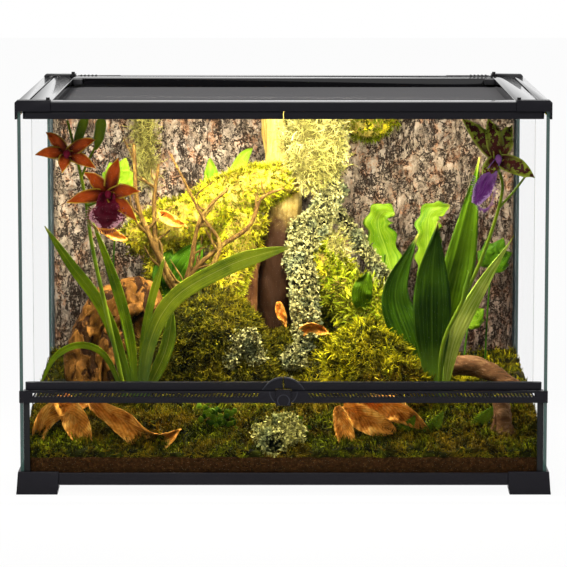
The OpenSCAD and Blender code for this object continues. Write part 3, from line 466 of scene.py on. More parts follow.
def lichenFinish(name, shade, body, tip):
    s = Shader(name)
    height = s.own("tip")
    tint = s.own("tint")
    fine = s.cloud(600, 4)
    patch = s.cloud(40, 3)
    tone = s.mix(s.fade(height, 0.1, 0.75), shade, body)
    tone = s.mix(s.fade(height + tint * 0.6, 0.85, 1.4), tone, tip)
    tone = s.mix(s.fade(patch, 0.5, 0.62) * 0.6, tone, s.mix(height, shade, (0.13, 0.165, 0.085)))
    tone = s.mix(s.fade(s.cloud(55, 3), 0.62, 0.5) * 0.15, tone, shade)
    tone = s.mix(s.fade(s.axes()[1], -0.13, -0.16), tone, (1.75, 1.75, 1.35), "MULTIPLY")
    return s.skin(tone, 0.8 - fine * 0.1, 0.06, fine, 0.4, 0.0005)


# the rims of the arch, the boss and the thumb hollow, painted paler as highlights where they would catch the light
latchFoot, latchTop = (corner.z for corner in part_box("latch"))
sill = latchTop - 0.002
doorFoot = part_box("left_door_lower_rail")[0].z
rimHighlights = {
    "arch": {"z": doorFoot - 0.0118, "radius": 0.0268, "width": 0.0009, "low": 0.0125, "high": 0.03,
             "tone": (0.034, 0.035, 0.045)},
    "boss": {"z": sill, "radius": 0.0159, "width": 0.0009, "low": -0.02, "high": 0.0, "tone": (0.026, 0.027, 0.035)},
    "thumb": {"z": latchFoot + 0.006, "radius": 0.0067, "width": 0.0008, "low": -0.0048, "high": 0.01,
              "tone": (0.03, 0.031, 0.042)},
}

print("materials")
casing = (0.0085, 0.0082, 0.0115)
finishes = {
    "frame": plastic("framePlastic", casing, 0.33, 0.25, 0.1),
    "strip": plastic("stripPlastic", casing, 0.33, 0.25, 0.1, highlightRings=(rimHighlights["arch"], rimHighlights["boss"])),
    "latch": plastic("latchPlastic", casing, 0.33, 0.25, 0.1, highlightRings=(rimHighlights["thumb"],)),
    "rim": plastic("polishedRim", casing, 0.1, 0.03, 0.25, 0.55),
    "cover": plastic("coverPlastic", (0.007, 0.0068, 0.0085), 0.1, 0.03, 0.25, 0.55),
    "small": plastic("blackPlastic", (0.005, 0.005, 0.006), 0.35, 0.25, 0.12),
    "gusset": plastic("gussetPlastic", (0.03, 0.03, 0.034), 0.3, 0.15, 0.2),
    "channel": plastic("channelPlastic", (0.005, 0.005, 0.006), 0.5, 0.2, 0.2),
    "glassX": sheetGlass("sideGlass", 0),
    "glassY": sheetGlass("frontGlass", 1),
    "glassZ": sheetGlass("floorGlass", 2),
    "seal": softRubber("siliconeSeal", (0.13, 0.17, 0.18)),
    "spline": softRubber("splineRubber", (0.012, 0.012, 0.013)),
    "steel": brushedWire("steelWire", (0.6, 0.6, 0.6), 1.0, 0.2),
    "wire": brushedWire("coatedWire", (0.2, 0.2, 0.21), 0.0, 0.6),
    "bark": barkFinish(),
    "soil": soilFinish(),
    "moss": mossFinish("carpetMoss", (0.003, 0.0026, 0.0001), (0.046, 0.053, 0.0006), (0.4, 0.48, 0.006),
        (0.2, 0.125, 0.003)),
    "moundMoss": mossFinish("moundMoss", (0.003, 0.0026, 0.0002), (0.038, 0.036, 0.0008), (0.29, 0.26, 0.004),
        (0.16, 0.13, 0.003), (0.05, (2.5, 2.6, 1.5))),
    "logMoss": mossFinish("logMoss", (0.016, 0.013, 0.0003), (0.27, 0.235, 0.003), (0.85, 0.76, 0.075),
        (0.3, 0.33, 0.006), (0.06, (0.7, 0.84, 0.6))),
    "hairMoss": mossFinish("hairMoss", (0.06, 0.05, 0.01), (0.38, 0.34, 0.085), (0.6, 0.55, 0.25),
        (0.3, 0.28, 0.06)),
    "lichen": lichenFinish("paleLichen", (0.008, 0.0075, 0.002), (0.075, 0.07, 0.02), (0.38, 0.355, 0.13)),
    "cork": woodFinish("peeledWood", (0.13, 0.06, 0.01), (0.36, 0.25, 0.055), (0.46, 0.36, 0.12),
        shadeBelow=0.295),
    "post": woodFinish("barkedPost", (0.028, 0.009, 0.003), (0.1, 0.04, 0.012), (0.28, 0.13, 0.045),
        (1, 1, 0.5), 110),
    "log": woodFinish("logWood", (0.06, 0.035, 0.008), (0.2, 0.14, 0.02), (0.34, 0.3, 0.06),
        mossy=(0.6, 0.5, 0.012)),
    "twig": woodFinish("twigBark", (0.009, 0.004, 0.0008), (0.055, 0.028, 0.005), (0.18, 0.115, 0.022),
        (1, 1, 0.4), 300, 0.6),
    "stump": woodFinish("gnarledWood", (0.01, 0.004, 0.0008), (0.09, 0.036, 0.005), (0.29, 0.13, 0.024),
        (1, 1, 0.75), 75, 1.0, pits=62),
    "fallen": woodFinish("fallenWood", (0.03, 0.013, 0.006), (0.12, 0.055, 0.02), (0.27, 0.15, 0.07),
        (0.3, 1, 1)),
    "strapLeaf": leafFinish("strapLeaf", (0.028, 0.068, 0.0006), (0.125, 0.19, 0.002), (0.34, 0.38, 0.03), 12,
        0.36, (0.05, 0.1, 0.01), (-0.135, (2.1, 1.75, 4.5))),
    "broadLeaf": leafFinish("broadLeaf", (0.006, 0.02, 0.0004), (0.022, 0.055, 0.001), (0.065, 0.13, 0.006), 9,
        0.36, (0.14, 0.26, 0.02)),
    "midLeaf": leafFinish("midLeaf", (0.014, 0.034, 0.0003), (0.042, 0.085, 0.001), (0.09, 0.15, 0.006), 9,
        0.36, (0.14, 0.26, 0.02)),
    "paleLeaf": leafFinish("paleLeaf", (0.16, 0.25, 0.014), (0.42, 0.48, 0.07), (0.72, 0.74, 0.24), 5),
    "limeLeaf": leafFinish("limeLeaf", (0.045, 0.12, 0.002), (0.15, 0.24, 0.008), (0.28, 0.36, 0.05), 3),
    "darkLeaf": leafFinish("darkLeaf", (0.01, 0.036, 0.001), (0.037, 0.092, 0.002), (0.08, 0.16, 0.006), 4),
    "stem": leafFinish("flowerStem", (0.045, 0.09, 0.004), (0.14, 0.2, 0.01), (0.24, 0.28, 0.045), 3),
    "redPetal": petalFinish("redPetal", (0.05, 0.003, 0.001), (0.4, 0.06, 0.004), (0.52, 0.36, 0.02)),
    "redLip": petalFinish("fringedLip", (0.1, 0.004, 0.015), (0.055, 0.0015, 0.007), (0.16, 0.006, 0.025),
        flecks=(0.6, 0.3, 0.34)),
    "greenPetal": petalFinish("mottledPetal", (0.03, 0.005, 0.003), (0.24, 0.3, 0.02), (0.34, 0.42, 0.04),
        (0.045, 0.007, 0.004)),
    "purpleLip": petalFinish("purpleLip", (0.22, 0.1, 0.26), (0.09, 0.01, 0.12), (0.14, 0.03, 0.18),
        flecks=(0.36, 0.2, 0.42)),
    "dried": driedFinish(),
}


def addPiece(name, bm, finish, body, node, smooth=True):
    return placePiece(name, toMesh(bm, name, smooth), finish, body, node)


def placePiece(name, mesh, finish, body, node):
    mesh.materials.append(finishes[finish])
    piece = stand(name, mesh)
    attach(piece, body)
    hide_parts(node)
    return piece


def smoothPath(points, steps):
    ends = [points[0] * 2 - points[1], *points, points[-1] * 2 - points[-2]]
    path = []
    for a, b, c, d in zip(ends, ends[1:], ends[2:], ends[3:]):
        for k in range(steps):
            t = k / steps
            path.append((b * 2 + (c - a) * t + (a * 2 - b * 5 + c * 4 - d) * t * t
                         + (b * 3 - a - c * 3 + d) * t ** 3) / 2)
    return path + [points[-1]]


def spread(values, count):
    out = []
    for i in range(count):
        place = i * (len(values) - 1) / (count - 1)
        low = min(int(place), len(values) - 2)
        out.append(values[low] + (values[low + 1] - values[low]) * (place - low))
    return out


def frames(path, facing=None):
    runs = [(path[min(i + 1, len(path) - 1)] - path[max(i - 1, 0)]).normalized() for i in range(len(path))]
    turn = runs[0].to_track_quat("Z", "Y")
    out = []
    for i, (place, run) in enumerate(zip(path, runs)):
        if facing:
            side = run.cross(facing).normalized()
            out.append(Matrix((side, side.cross(run), run)).transposed().to_4x4())
        else:
            if i:
                turn = runs[i - 1].rotation_difference(run) @ turn
            out.append(turn.to_matrix().to_4x4())
        out[-1].translation = place
    return out


def extrude(bm, edges):
    grown = bmesh.ops.extrude_edge_only(bm, edges=edges)["geom"]
    return [g for g in grown if isinstance(g, bmesh.types.BMVert)]


def rimOf(bm):
    return [e for e in bm.edges if e.is_boundary]


def closeUp(bm):
    bmesh.ops.edgeloop_fill(bm, edges=rimOf(bm))
    bmesh.ops.recalc_face_normals(bm, faces=bm.faces[:])


def addTube(bm, points, radii, sides=10, steps=5, squeeze=1.0):
    path = smoothPath(points, steps)
    widths = [max(w, 0.0001) for w in spread(radii, len(path))]
    poses = [pose @ Matrix.Diagonal((w, w * squeeze, 1, 1)) for pose, w in zip(frames(path), widths)]
    made = bmesh.ops.create_circle(bm, cap_ends=True, segments=sides, radius=1, matrix=poses[0])["verts"]
    bm.edges.index_update()
    ring = sorted({e for v in made for e in v.link_edges}, key=lambda e: e.index)
    for before, after in zip(poses, poses[1:]):
        grown = bmesh.ops.extrude_edge_only(bm, edges=ring)["geom"]
        tips = [g for g in grown if isinstance(g, bmesh.types.BMVert)]
        ring = [g for g in grown if isinstance(g, bmesh.types.BMEdge) and g.verts[0] in tips and g.verts[1] in tips]
        bmesh.ops.transform(bm, matrix=after @ before.inverted(), verts=tips)
        made += tips
    bmesh.ops.edgeloop_fill(bm, edges=ring)
    bmesh.ops.recalc_face_normals(bm, faces=list({f for v in made for f in v.link_faces}))


def straight(start, way):
    return [start, start + way * 0.5, start + way]


# a leaf or petal along a path, its face towards the front
def addBlade(bm, points, halfWidth, shape, fold=0.2, pleats=0, pleatDepth=0.0, wave=0.0, curl=0.0, rows=24, columns=6,
             seed=0, ribs=0, ribDepth=0.0):
    path = smoothPath(points, max(2, rows // (len(points) - 1)))
    poses = frames(path, Vector((0, -1, 0)))
    bm.loops.layers.uv.verify()
    made = bmesh.ops.create_grid(bm, x_segments=len(path) - 1, y_segments=columns, size=1, calc_uvs=True)["verts"]
    for v in made:
        share, side = (v.co.x + 1) / 2, v.co.y
        pose = poses[round(share * (len(path) - 1))]
        width = halfWidth * shape(share)
        lift = fold * width * abs(side) ** 1.4
        if pleats:
            lift += pleatDepth * math.cos(side * pleats * math.pi) * math.sin(math.pi * min(1, share * 1.15))
        lift += ribDepth * math.sin((share * ribs - abs(side) * 1.6) * 2 * math.pi) * min(1, 3 * abs(side))
        ripple = noise.noise(Vector((share * 5, side * 1.5, seed * 7.3)))
        lift += wave * ripple * (0.4 + abs(side)) + curl * halfWidth * (abs(side) ** 2) * shape(share)
        v.co = pose @ Vector((side * width * (1 - 0.15 * abs(curl)), lift, 0))


def strap(share):
    return max(0.03, min(1, 0.45 + 1.6 * share) * min(1, (1 - share) * 3.2) ** 0.7)


def broad(share):
    return max(0.03, math.sin(math.pi * min(1, 0.06 + share * 0.94)) ** 0.75)


def pointed(share):
    return max(0.03, math.sin(math.pi * (0.08 + 0.92 * share) ** 0.75) ** 0.9)


def lanceShape(share):
    return max(0.02, 0.16 * (1 - share) + math.sin(math.pi * share ** 0.95) ** 1.15 * (1 - 0.1 * share))


def frondShape(share):
    return max(0.04, math.sin(math.pi * (0.06 + 0.94 * share) ** 0.9) ** 0.55 * (0.84 + 0.16 * math.sin(share * 38)))


def fanShape(share):
    rounded = min(1, 0.3 + 1.15 * share) * (1 - 0.55 * max(0, share - 0.72) / 0.28)
    return max(0.1, rounded * (0.96 + 0.04 * math.sin(share * 70)))


def thicken(bm, thickness):
    bmesh.ops.recalc_face_normals(bm, faces=bm.faces[:])
    bmesh.ops.solidify(bm, geom=bm.faces[:], thickness=thickness)


def roughen(bm, amount, scale, stretch, seed):
    bm.normal_update()
    for v in bm.verts:
        where = Vector((v.co.x * stretch[0], v.co.y * stretch[1], v.co.z * stretch[2])) * scale + Vector((seed,) * 3)
        v.co += v.normal * amount * (noise.noise(where) + 0.5 * noise.noise(where * 2.3))


def makeTemplate(name, build, count, seed):
    holder = bpy.data.collections.new(name)
    for i in range(count):
        bm = layered("tip")
        build(bm, random.Random(seed + i))
        holder.objects.link(bpy.data.objects.new(f"{name}{i}", toMesh(bm, name)))
    return holder


# how thickly each growth stands, per square metre, its sizes and its lean in radians; cover is a layer of the ground
growths = {
    "mossFront": {"density": 68000, "size": (0.8, 2.0), "seed": 5, "lean": 0.6, "cover": "near"},
    "mossRear": {"density": 68000, "size": (0.9, 1.8), "seed": 6, "lean": 0.5, "cover": "far"},
    "mossCrown": {"density": 20000, "size": (1.6, 2.8), "seed": 7, "lean": 0.7, "cover": "crest"},
    "logFluff": {"density": 42000, "size": (0.9, 1.9), "seed": 11, "lean": 0.6},
    "ridgeFluff": {"density": 20000, "size": (1.8, 3.2), "seed": 12, "lean": 0.75, "cover": "shaggy"},
    "lichenFrills": {"density": 88000, "size": (0.7, 1.7), "seed": 17, "lean": 0.9},
    "hairStrands": {"density": 62000, "size": (0.6, 1.2), "seed": 23, "lean": 0.8},
}


def scatter(name, ground, template):
    growth = growths[name]
    density, size, seed, lean = (growth[key] for key in ("density", "size", "seed", "lean"))
    group = bpy.data.node_groups.new(name, "GeometryNodeTree")
    for way in ("INPUT", "OUTPUT"):
        group.interface.new_socket("Geometry", in_out=way, socket_type="NodeSocketGeometry")
    g = Nodes(group)
    if "cover" in growth:
        density = g.add("GeometryNodeInputNamedAttribute", {"data_type": "FLOAT"}, {"Name": growth["cover"]},
                        "Attribute") * density
    dots = g.add("GeometryNodeDistributePointsOnFaces", {"distribute_method": "RANDOM"}, {
        "Mesh": g.add("NodeGroupInput"), "Density": density, "Seed": seed}, "Points")
    spin = g.add("FunctionNodeRandomValue", {"data_type": "FLOAT_VECTOR"}, {
        0: (-lean, -lean, 0), 1: (lean, lean, fullTurn), "Seed": seed + 1})
    turned = g.add("FunctionNodeRotateRotation", {"rotation_space": "LOCAL"}, {0: dots.output("Rotation"), 1: spin})
    grown = g.add("FunctionNodeRandomValue", {"data_type": "FLOAT"}, {2: size[0], 3: size[1], "Seed": seed + 2}, 1)
    stock = g.add("GeometryNodeCollectionInfo", {}, {
        "Collection": template, "Separate Children": True, "Reset Children": True})
    placed = g.add("GeometryNodeInstanceOnPoints", {}, {
        "Points": dots, "Instance": stock, "Pick Instance": True, "Rotation": turned, "Scale": grown})
    shade = g.add("FunctionNodeRandomValue", {"data_type": "FLOAT"}, {2: 0.0, 3: 1.0, "Seed": seed + 3}, 1)
    tinted = g.add("GeometryNodeStoreNamedAttribute", {"data_type": "FLOAT", "domain": "INSTANCE"}, {
        "Geometry": placed, "Name": "tint", "Value": shade})
    real = g.add("GeometryNodeRealizeInstances", {}, {0: tinted})
    g.feed(group.nodes.new("NodeGroupOutput").inputs[0], real)

    carrier = stand(name, ground)
    carrier.modifiers.new(name, "NODES").node_group = group
    bpy.context.view_layer.update()
    graph = bpy.context.evaluated_depsgraph_get()
    mesh = bpy.data.meshes.new_from_object(carrier.evaluated_get(graph), preserve_all_data_layers=True,
                                           depsgraph=graph)
    bpy.data.objects.remove(carrier)
    mesh.name = name
    mesh.materials.clear()
    return mesh


def joinMeshes(name, *meshes):
    bm = bmesh.new()
    for mesh in meshes:
        bm.from_mesh(mesh)
    return toMesh(bm, name, True, False)


edges = {
    "frame": {"width": 0.0009, "finish": "frame", "slot": "frame_plastic", "nodes": {
        "root": ["foot_front_left", "foot_front_right", "foot_rear_left", "foot_rear_right", "base_rail_front",
                 "base_rail_rear", "base_rail_left", "base_rail_right", "top_rail_front", "block_front_left",
                 "block_front_right"],
        "left_door": ["left_door_upper_rail"], "right_door": ["right_door_upper_rail"]}},
    "rim": {"width": 0.0009, "finish": "rim", "slot": "frame_plastic", "nodes": {
        "root": ["top_rail_rear", "top_rail_left", "top_rail_right", "block_rear_left", "block_rear_right"]}},
    "vents": {"width": 0.0003, "finish": "strip", "slot": "frame_plastic", "nodes": {
        "root": ["vent_strip"], "left_door": ["left_door_lower_rail"], "right_door": ["right_door_lower_rail"]}},
    "latch": {"width": 0.0003, "finish": "latch", "slot": "frame_plastic", "nodes": {"latch": ["latch"]}},
    "cover": {"width": 0.0008, "finish": "cover", "slot": "cover_plastic", "nodes": {
        "screen_cover": ["cover_bar_front", "cover_bar_rear", "cover_bar_left", "cover_bar_right"]}},
    "small": {"width": 0.0004, "finish": "small", "slot": "small_plastic", "nodes": {
        name: [name] for name in ["clip_front_left", "clip_front_right", "clip_rear_left", "clip_rear_right",
                                  "shutter_left", "shutter_right"]}},
    "gussets": {"width": 0.0005, "finish": "gusset", "slot": "gusset_plastic", "nodes": {
        "screen_cover": ["cover_gussets"]}},
    "seals": {"width": 0.0012, "finish": "seal", "slot": "sealant", "nodes": {"root": ["rear_seals"]}},
    "channels": {"width": 0.0005, "finish": "channel", "slot": "channel", "nodes": {"root": ["front_channels"]}},
}
kept = {
    "glassX": ["left_glass", "right_glass"],
    "glassY": ["rear_glass", "front_glass", "left_door_glass", "right_door_glass"],
    "glassZ": ["bottom_glass"],
    "spline": ["cover_spline"],
    "steel": ["left_door_pins", "right_door_pins"],
}


# a copy of a CAD node with its edges rounded
def roundPiece(node, body, width, finish):
    bm = bmesh.new()
    bm.from_mesh(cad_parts[node].data)
    bmesh.ops.remove_doubles(bm, verts=bm.verts[:], dist=0.00002)
    bmesh.ops.dissolve_limit(bm, angle_limit=math.radians(1), verts=bm.verts[:], edges=bm.edges[:])
    bevel = addPiece(node + "_moulded", bm, finish, body, node).modifiers.new("edge", "BEVEL")
    bevel.width = width
    bevel.segments = 2
    bevel.limit_method = "ANGLE"
    bevel.angle_limit = math.radians(32)
    bevel.harden_normals = True


def buildCase():
    for part in edges.values():
        for body, nodes in part["nodes"].items():
            for node in nodes:
                roundPiece(node, body, part["width"], part["finish"])
    for finish, nodes in kept.items():
        for node in nodes:
            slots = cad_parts[node].data.materials
            slots.clear()
            slots.append(finishes[finish])


# the woven screen: straight wires in two layers
screen = {"pitch": 0.0013, "wire": 0.00023, "layer": 0.7 * 0.00023}


# the coil's foot stays on the frame and its top follows the latch
def buildSpring():
    low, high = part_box("latch_spring")
    coil = stand("latch_coil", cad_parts["latch_spring"].data.copy())
    coil.data.materials.clear()
    coil.data.materials.append(finishes["steel"])
    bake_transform(coil, "root", "latch", start=(low.x, low.y, low.z), end=(low.x, low.y, high.z))
    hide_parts("latch_spring")


def buildScreen():
    low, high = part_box("cover_mesh")
    middle = (low.z + high.z) / 2
    bm = bmesh.new()
    for axis, other, level in ((0, 1, screen["layer"]), (1, 0, -screen["layer"])):
        count = int((high[other] - low[other]) / screen["pitch"])
        length = high[axis] - low[axis]
        turn = Matrix.Rotation(math.pi / 2, 4, "Y" if axis == 0 else "X")
        template = bmesh.new()
        bmesh.ops.create_cone(template, cap_ends=True, segments=4, radius1=screen["wire"], radius2=screen["wire"],
                              depth=length, matrix=turn)
        wire = toMesh(template, "wire")
        for i in range(count):
            place = Vector((0, 0, middle + level))
            place[axis] = (low[axis] + high[axis]) / 2
            place[other] = low[other] + (i + 0.5) * screen["pitch"]
            had = len(bm.verts)
            bm.from_mesh(wire)
            bm.verts.ensure_lookup_table()
            bmesh.ops.translate(bm, vec=place, verts=bm.verts[had:])
    addPiece("screen_mesh", bm, "wire", "screen_cover", "cover_mesh", smooth=False)


print("case")
placeCamera()
placeLights()
lightStudio()
buildCase()
buildSpring()
buildScreen()

bark = {"columns": 372, "rows": 258, "front": 0.2062, "crack": 0.0052, "flake": 0.0032, "height": 0.4118, "seed": 4.0}


def ease(value, low, high):
    t = max(0.0, min(1.0, (value - low) / (high - low)))
    return t * t * (3 - 2 * t)


def barkDepth(x, z):
    warp = noise.noise_vector(Vector((x * 40, z * 26, bark["seed"]))) * 0.01
    warp += noise.noise_vector(Vector((x * 150, z * 100, 3.0))) * 0.004
    x, z = x + warp.x, z + warp.y
    gaps, places = noise.voronoi(Vector((x * 78, 0, z * 36)))
    wide = ease(gaps[1] - gaps[0], 0.0, 0.14)
    level = 0.5 + 0.5 * noise.noise(places[0] * 3.7)
    gaps, places = noise.voronoi(Vector((x * 210, 4, z * 120)))
    small = ease(gaps[1] - gaps[0], 0.0, 0.3)
    step = 0.5 + 0.5 * noise.noise(places[0] * 2.9)
    chip = 0.5 + 0.5 * noise.noise(Vector((x * 260, z * 150, 8.0)))
    return max(0.0, min(1.0, (0.35 + 0.65 * wide) * (0.3 + 0.4 * level + 0.2 * small * step) + 0.08 * chip))


def buildBark():
    bm = layered("height")
    level = bm.verts.layers.float["height"]
    halfX = cabinX - 0.0046
    middle = cabinFloor + bark["height"] / 2
    turn = Matrix.Translation((0, bark["front"], middle)) @ Matrix.Rotation(math.pi / 2, 4, "X")
    turn = turn @ Matrix.Diagonal((halfX, bark["height"] / 2, 1, 1))
    for v in bmesh.ops.create_grid(bm, x_segments=bark["columns"], y_segments=bark["rows"], size=1,
                                   matrix=turn)["verts"]:
        v[level] = barkDepth(v.co.x, v.co.z)
        rough = noise.noise(v.co * 160) * 0.0007 + noise.noise(v.co * 420) * 0.0003
        border = min(1, (halfX - abs(v.co.x)) / 0.004, (bark["height"] / 2 - abs(v.co.z - middle)) / 0.004)
        v.co.y -= border * (v[level] * (bark["crack"] + bark["flake"]) + rough + 0.0002)
    for v in extrude(bm, rimOf(bm)):
        v.co.y = cabinY - 0.0003
        v[level] = 0.5
    closeUp(bm)
    addPiece("bark_panel", bm, "bark", "root", "bark_background")


ground = {"ceiling": 0.4395, "x": 0.298, "front": -0.22, "back": 0.2062, "moss": 0.012,
          "profile": ((-0.218, 0.0416), (-0.188, 0.0496), (-0.15, 0.0656), (-0.07, 0.0796), (0.2062, 0.0916))}
# each mound's place and its radius in millimetres
mounds = (
    (-32, 10, 33, 72), (-47, 8, 24, 56), (-20, 0, 20, 58), (-4, -2, 14, 42), (20, 10, 22, 54), (38, 14, 20, 60),
    (56, 6, 13, 46), (4, 30, 22, 60), (43, -38, 20, 50), (35, -20, 28, 52), (80, 30, 12, 48), (-80, 34, 12, 50),
    (-52, 30, 24, 56), (-90, -60, 6, 36), (-62, -64, 6, 40), (-20, -66, 6, 44), (24, -64, 5, 40), (52, -64, 7, 40),
    (80, -62, 5, 40))
mossTufts = {"blades": 6, "length": 0.0062, "width": 0.00042, "spread": 0.0022, "sunk": 0.001, "fringe": 0.006,
             "droop": 0.018}


def groundHeight(y):
    steps = ground["profile"]
    if y <= steps[0][0]:
        return steps[0][1]
    for (y0, z0), (y1, z1) in zip(steps, steps[1:]):
        if y <= y1:
            return z0 + (z1 - z0) * (y - y0) / (y1 - y0)
    return steps[-1][1]


def mossHeight(x, y):
    top = groundHeight(y) + ground["moss"] * (0.55 + 0.6 * noise.noise(Vector((x * 24, y * 24, 1.5))))
    for px, py, pz, radius in mounds:
        place = spot(px, py, pz)
        reach = radius * mm
        gap = reach ** 2 - (x - place.x) ** 2 - (y - place.y) ** 2
        if gap > 0:
            swell = 0.97 + 0.12 * noise.noise(Vector((x, y, 0)) * 60)
            top = max(top, place.z - 0.35 * reach + math.sqrt(gap) * swell)
    return top


def heightSheet(bm, columns, rows, height, inset=0.0):
    for v in bmesh.ops.create_grid(bm, x_segments=columns, y_segments=rows, size=1)["verts"]:
        x = v.co.x * (ground["x"] - inset)
        y = ground["front"] + inset + (v.co.y + 1) / 2 * (ground["back"] - ground["front"] - 2 * inset)
        v.co = Vector((x, y, height(x, y)))


def skirt(bm, height, steps):
    for i in range(steps):
        for v in extrude(bm, rimOf(bm)):
            v.co.z += (height(v.co.x, v.co.y) - v.co.z) / (steps - i)


def buildSoil():
    bm = bmesh.new()
    heightSheet(bm, 130, 80, lambda x, y: groundHeight(y) + 0.0015 * noise.noise(Vector((x, y, 3)) * 90))
    skirt(bm, lambda x, y: cabinFloor + 0.0002, 6)
    closeUp(bm)
    addPiece("soil_bed", bm, "soil", "root", "soil")


# a narrow strip from foot to tip, bent by a function of the place across and along it
def ribbon(bm, segments, shape, foot=0.0):
    tip = bm.verts.layers.float["tip"]
    for v in bmesh.ops.create_grid(bm, x_segments=1, y_segments=segments, size=1)["verts"]:
        along = (v.co.y + 1) / 2
        v[tip] = foot + (1 - foot) * along
        v.co = shape(v.co.x, along)


def mossTuft(bm, rng):
    for _ in range(mossTufts["blades"]):
        length = mossTufts["length"] * rng.uniform(0.6, 1.15)
        lean = rng.uniform(0.15, 0.95)
        turn = Matrix.Rotation(rng.uniform(0, fullTurn), 4, "Z")
        base = Vector((rng.uniform(-1, 1), rng.uniform(-1, 1), 0)) * mossTufts["spread"]

        def blade(x, along):
            width = mossTufts["width"] * rng.uniform(0.9, 1.5) * (1 - 0.75 * along)
            return base + turn @ Vector((x * width, along * along * lean * length,
                                         along * length * (1 - 0.35 * lean * along) - mossTufts["sunk"]))

        ribbon(bm, 2, blade)


def buildMoss(tufts):
    bm = layered("tip", "tint", "near", "far", "crest")
    tip, near, far, crest = (bm.verts.layers.float[name] for name in ("tip", "near", "far", "crest"))
    heightSheet(bm, 128, 92, mossHeight, 0.0006)
    skirt(bm, lambda x, y: groundHeight(y) - 0.001, 2)
    bmesh.ops.recalc_face_normals(bm, faces=bm.faces[:])
    for v in bm.verts:
        x, y, z = v.co
        v[tip] = 0.25 + 0.5 * noise.noise(v.co * 130)
        v[near] = 1 if y < -0.1 else 0
        v[crest] = 1 if 0.05 < x < 0.18 and -0.13 < y < 0.02 and z > 0.095 else 0
        v[far] = 0 if y < -0.1 else 0.85 if y < 0.08 and abs(x) < 0.24 else 0.15
    base = toMesh(bm, "mossBase")
    front = scatter("mossFront", base, tufts)
    for v in front.vertices:
        if v.co.y < ground["front"] + mossTufts["fringe"]:
            v.co.z -= mossTufts["droop"] * max(0, noise.noise(Vector((v.co.x * 45, 2.0, v.co.z * 20))))
    rear = scatter("mossRear", base, tufts)
    keepInside(front)
    keepInside(rear)
    crown = scatter("mossCrown", base, tufts)
    placePiece("moss_carpet", joinMeshes("moss_carpet", base, front), "moss", "root", "moss")
    placePiece("moss_mounds", joinMeshes("moss_mounds", rear, crown), "moundMoss", "root", "moss")


# keeps loose growth behind the glass and above the floor
def keepInside(mesh):
    for v in mesh.vertices:
        v.co.x = max(-ground["x"] + 0.0001, min(ground["x"] - 0.0001, v.co.x))
        v.co.y = max(ground["front"] + 0.0001, v.co.y)
        v.co.z = max(cabinFloor + 0.0006, min(ground["ceiling"], v.co.z))


# paths in shares of the cabin, each followed by its radii
woods = {
    "cork_stem": {
        "shape": (((-1, 54, 97), (0, 52, 79), (0, 50, 65), (-3, 46, 49), (-4, 46, 32), (-3, 42, 12)),
                  (0.025, 0.024, 0.022, 0.021, 0.02, 0.024)),
        "sides": 48, "steps": 30, "rough": ((0.0048, 30, (1.8, 1.8, 0.6), 3.0), (0.0012, 150, (1.6, 1.6, 0.3), 8.0)),
        "finish": "cork", "slot": "cork", "node": "cork_trunk"},
    "cork_post": {
        "shape": (((-6, 46, 52), (-13, 44, 49), (-14, 36, 33), (-15, 28, 12)), (0.012, 0.01, 0.008, 0.01)),
        "sides": 24, "steps": 18, "rough": ((0.0016, 60, (1.5, 1.5, 0.4), 5.0),),
        "finish": "post", "slot": "cork", "node": "cork_trunk"},
    "twig_branches": {
        "shape": (((-61, 12, 86), (-60, 12, 70), (-56, 12, 61), (-49, 10, 51), (-42, 8, 41), (-40, 8, 30)),
                  (0.0018, 0.0026, 0.0034, 0.004, 0.0055, 0.0065),
                  ((-51, 16, 80), (-53, 16, 68), (-51, 12, 52), (-42, 8, 41)), (0.0016, 0.0028, 0.0036, 0.004),
                  ((-46, 10, 83), (-34, 10, 66), (-26, 10, 56), (-36, 8, 44), (-40, 8, 36)),
                  (0.0011, 0.0018, 0.0026, 0.0028, 0.003),
                  ((-23, 14, 73), (-34, 12, 64), (-38, 10, 51), (-42, 8, 41)), (0.0016, 0.0026, 0.0032, 0.004),
                  ((0, 14, 73), (-9, 14, 70), (-14, 13, 62), (-26, 12, 56), (-38, 10, 48), (-41, 8, 38)),
                  (0.0014, 0.0022, 0.0026, 0.003, 0.0034, 0.004)),
        "sides": 10, "steps": 10, "rough": ((0.0009, 170, (1, 1, 0.5), 6.0),), "branchlets": (6, 0.04),
        "finish": "twig", "slot": "twig", "node": "twigs"},
    "gnarled_stump": {
        "shape": (((-84, 8, 14), (-81, 10, 31), (-69, 12, 41), (-56, 12, 41), (-51, 8, 29), (-54, 5, 14)),
                  (0.019, 0.017, 0.019, 0.018, 0.014, 0.017),
                  ((-70, 12, 40), (-70, 6, 26), (-68, 2, 14)), (0.012, 0.01, 0.014),
                  ((-68, 16, 12), (-68, 15, 26), (-66, 14, 40)), (0.034, 0.032, 0.022),
                  ((-78, 4, 14), (-76, 2, 26), (-66, 4, 36), (-58, 6, 40)), (0.01, 0.008, 0.008, 0.006)),
        "sides": 30, "steps": 16, "rough": ((0.0075, 42, (1, 1, 0.7), 2.0), (0.0025, 120, (1, 1, 0.4), 4.0)),
        "finish": "stump", "slot": "twig", "node": "stump"},
    "fallen_branches": {
        "shape": (((57, -9, 22), (78, -9, 23), (95, -16, 17)), (0.01, 0.012, 0.0095),
                  ((85, -74, 20), (86, -78, 13), (84, -81, 8), (82, -83, 3)), (0.0105, 0.0095, 0.007, 0.006),
                  ((86, -78, 14), (89, -80, 9), (92, -82, 3)), (0.0075, 0.0065, 0.005),
                  ((85, -76, 17), (81, -79, 10), (79, -81, 4)), (0.004, 0.003, 0.003)),
        "sides": 22, "steps": 14, "rough": ((0.0022, 70, (0.5, 1, 1), 2.0), (0.0008, 240, (0.4, 1, 1), 7.0)),
        "finish": "fallen", "slot": "twig", "node": "fallen_wood"},
}
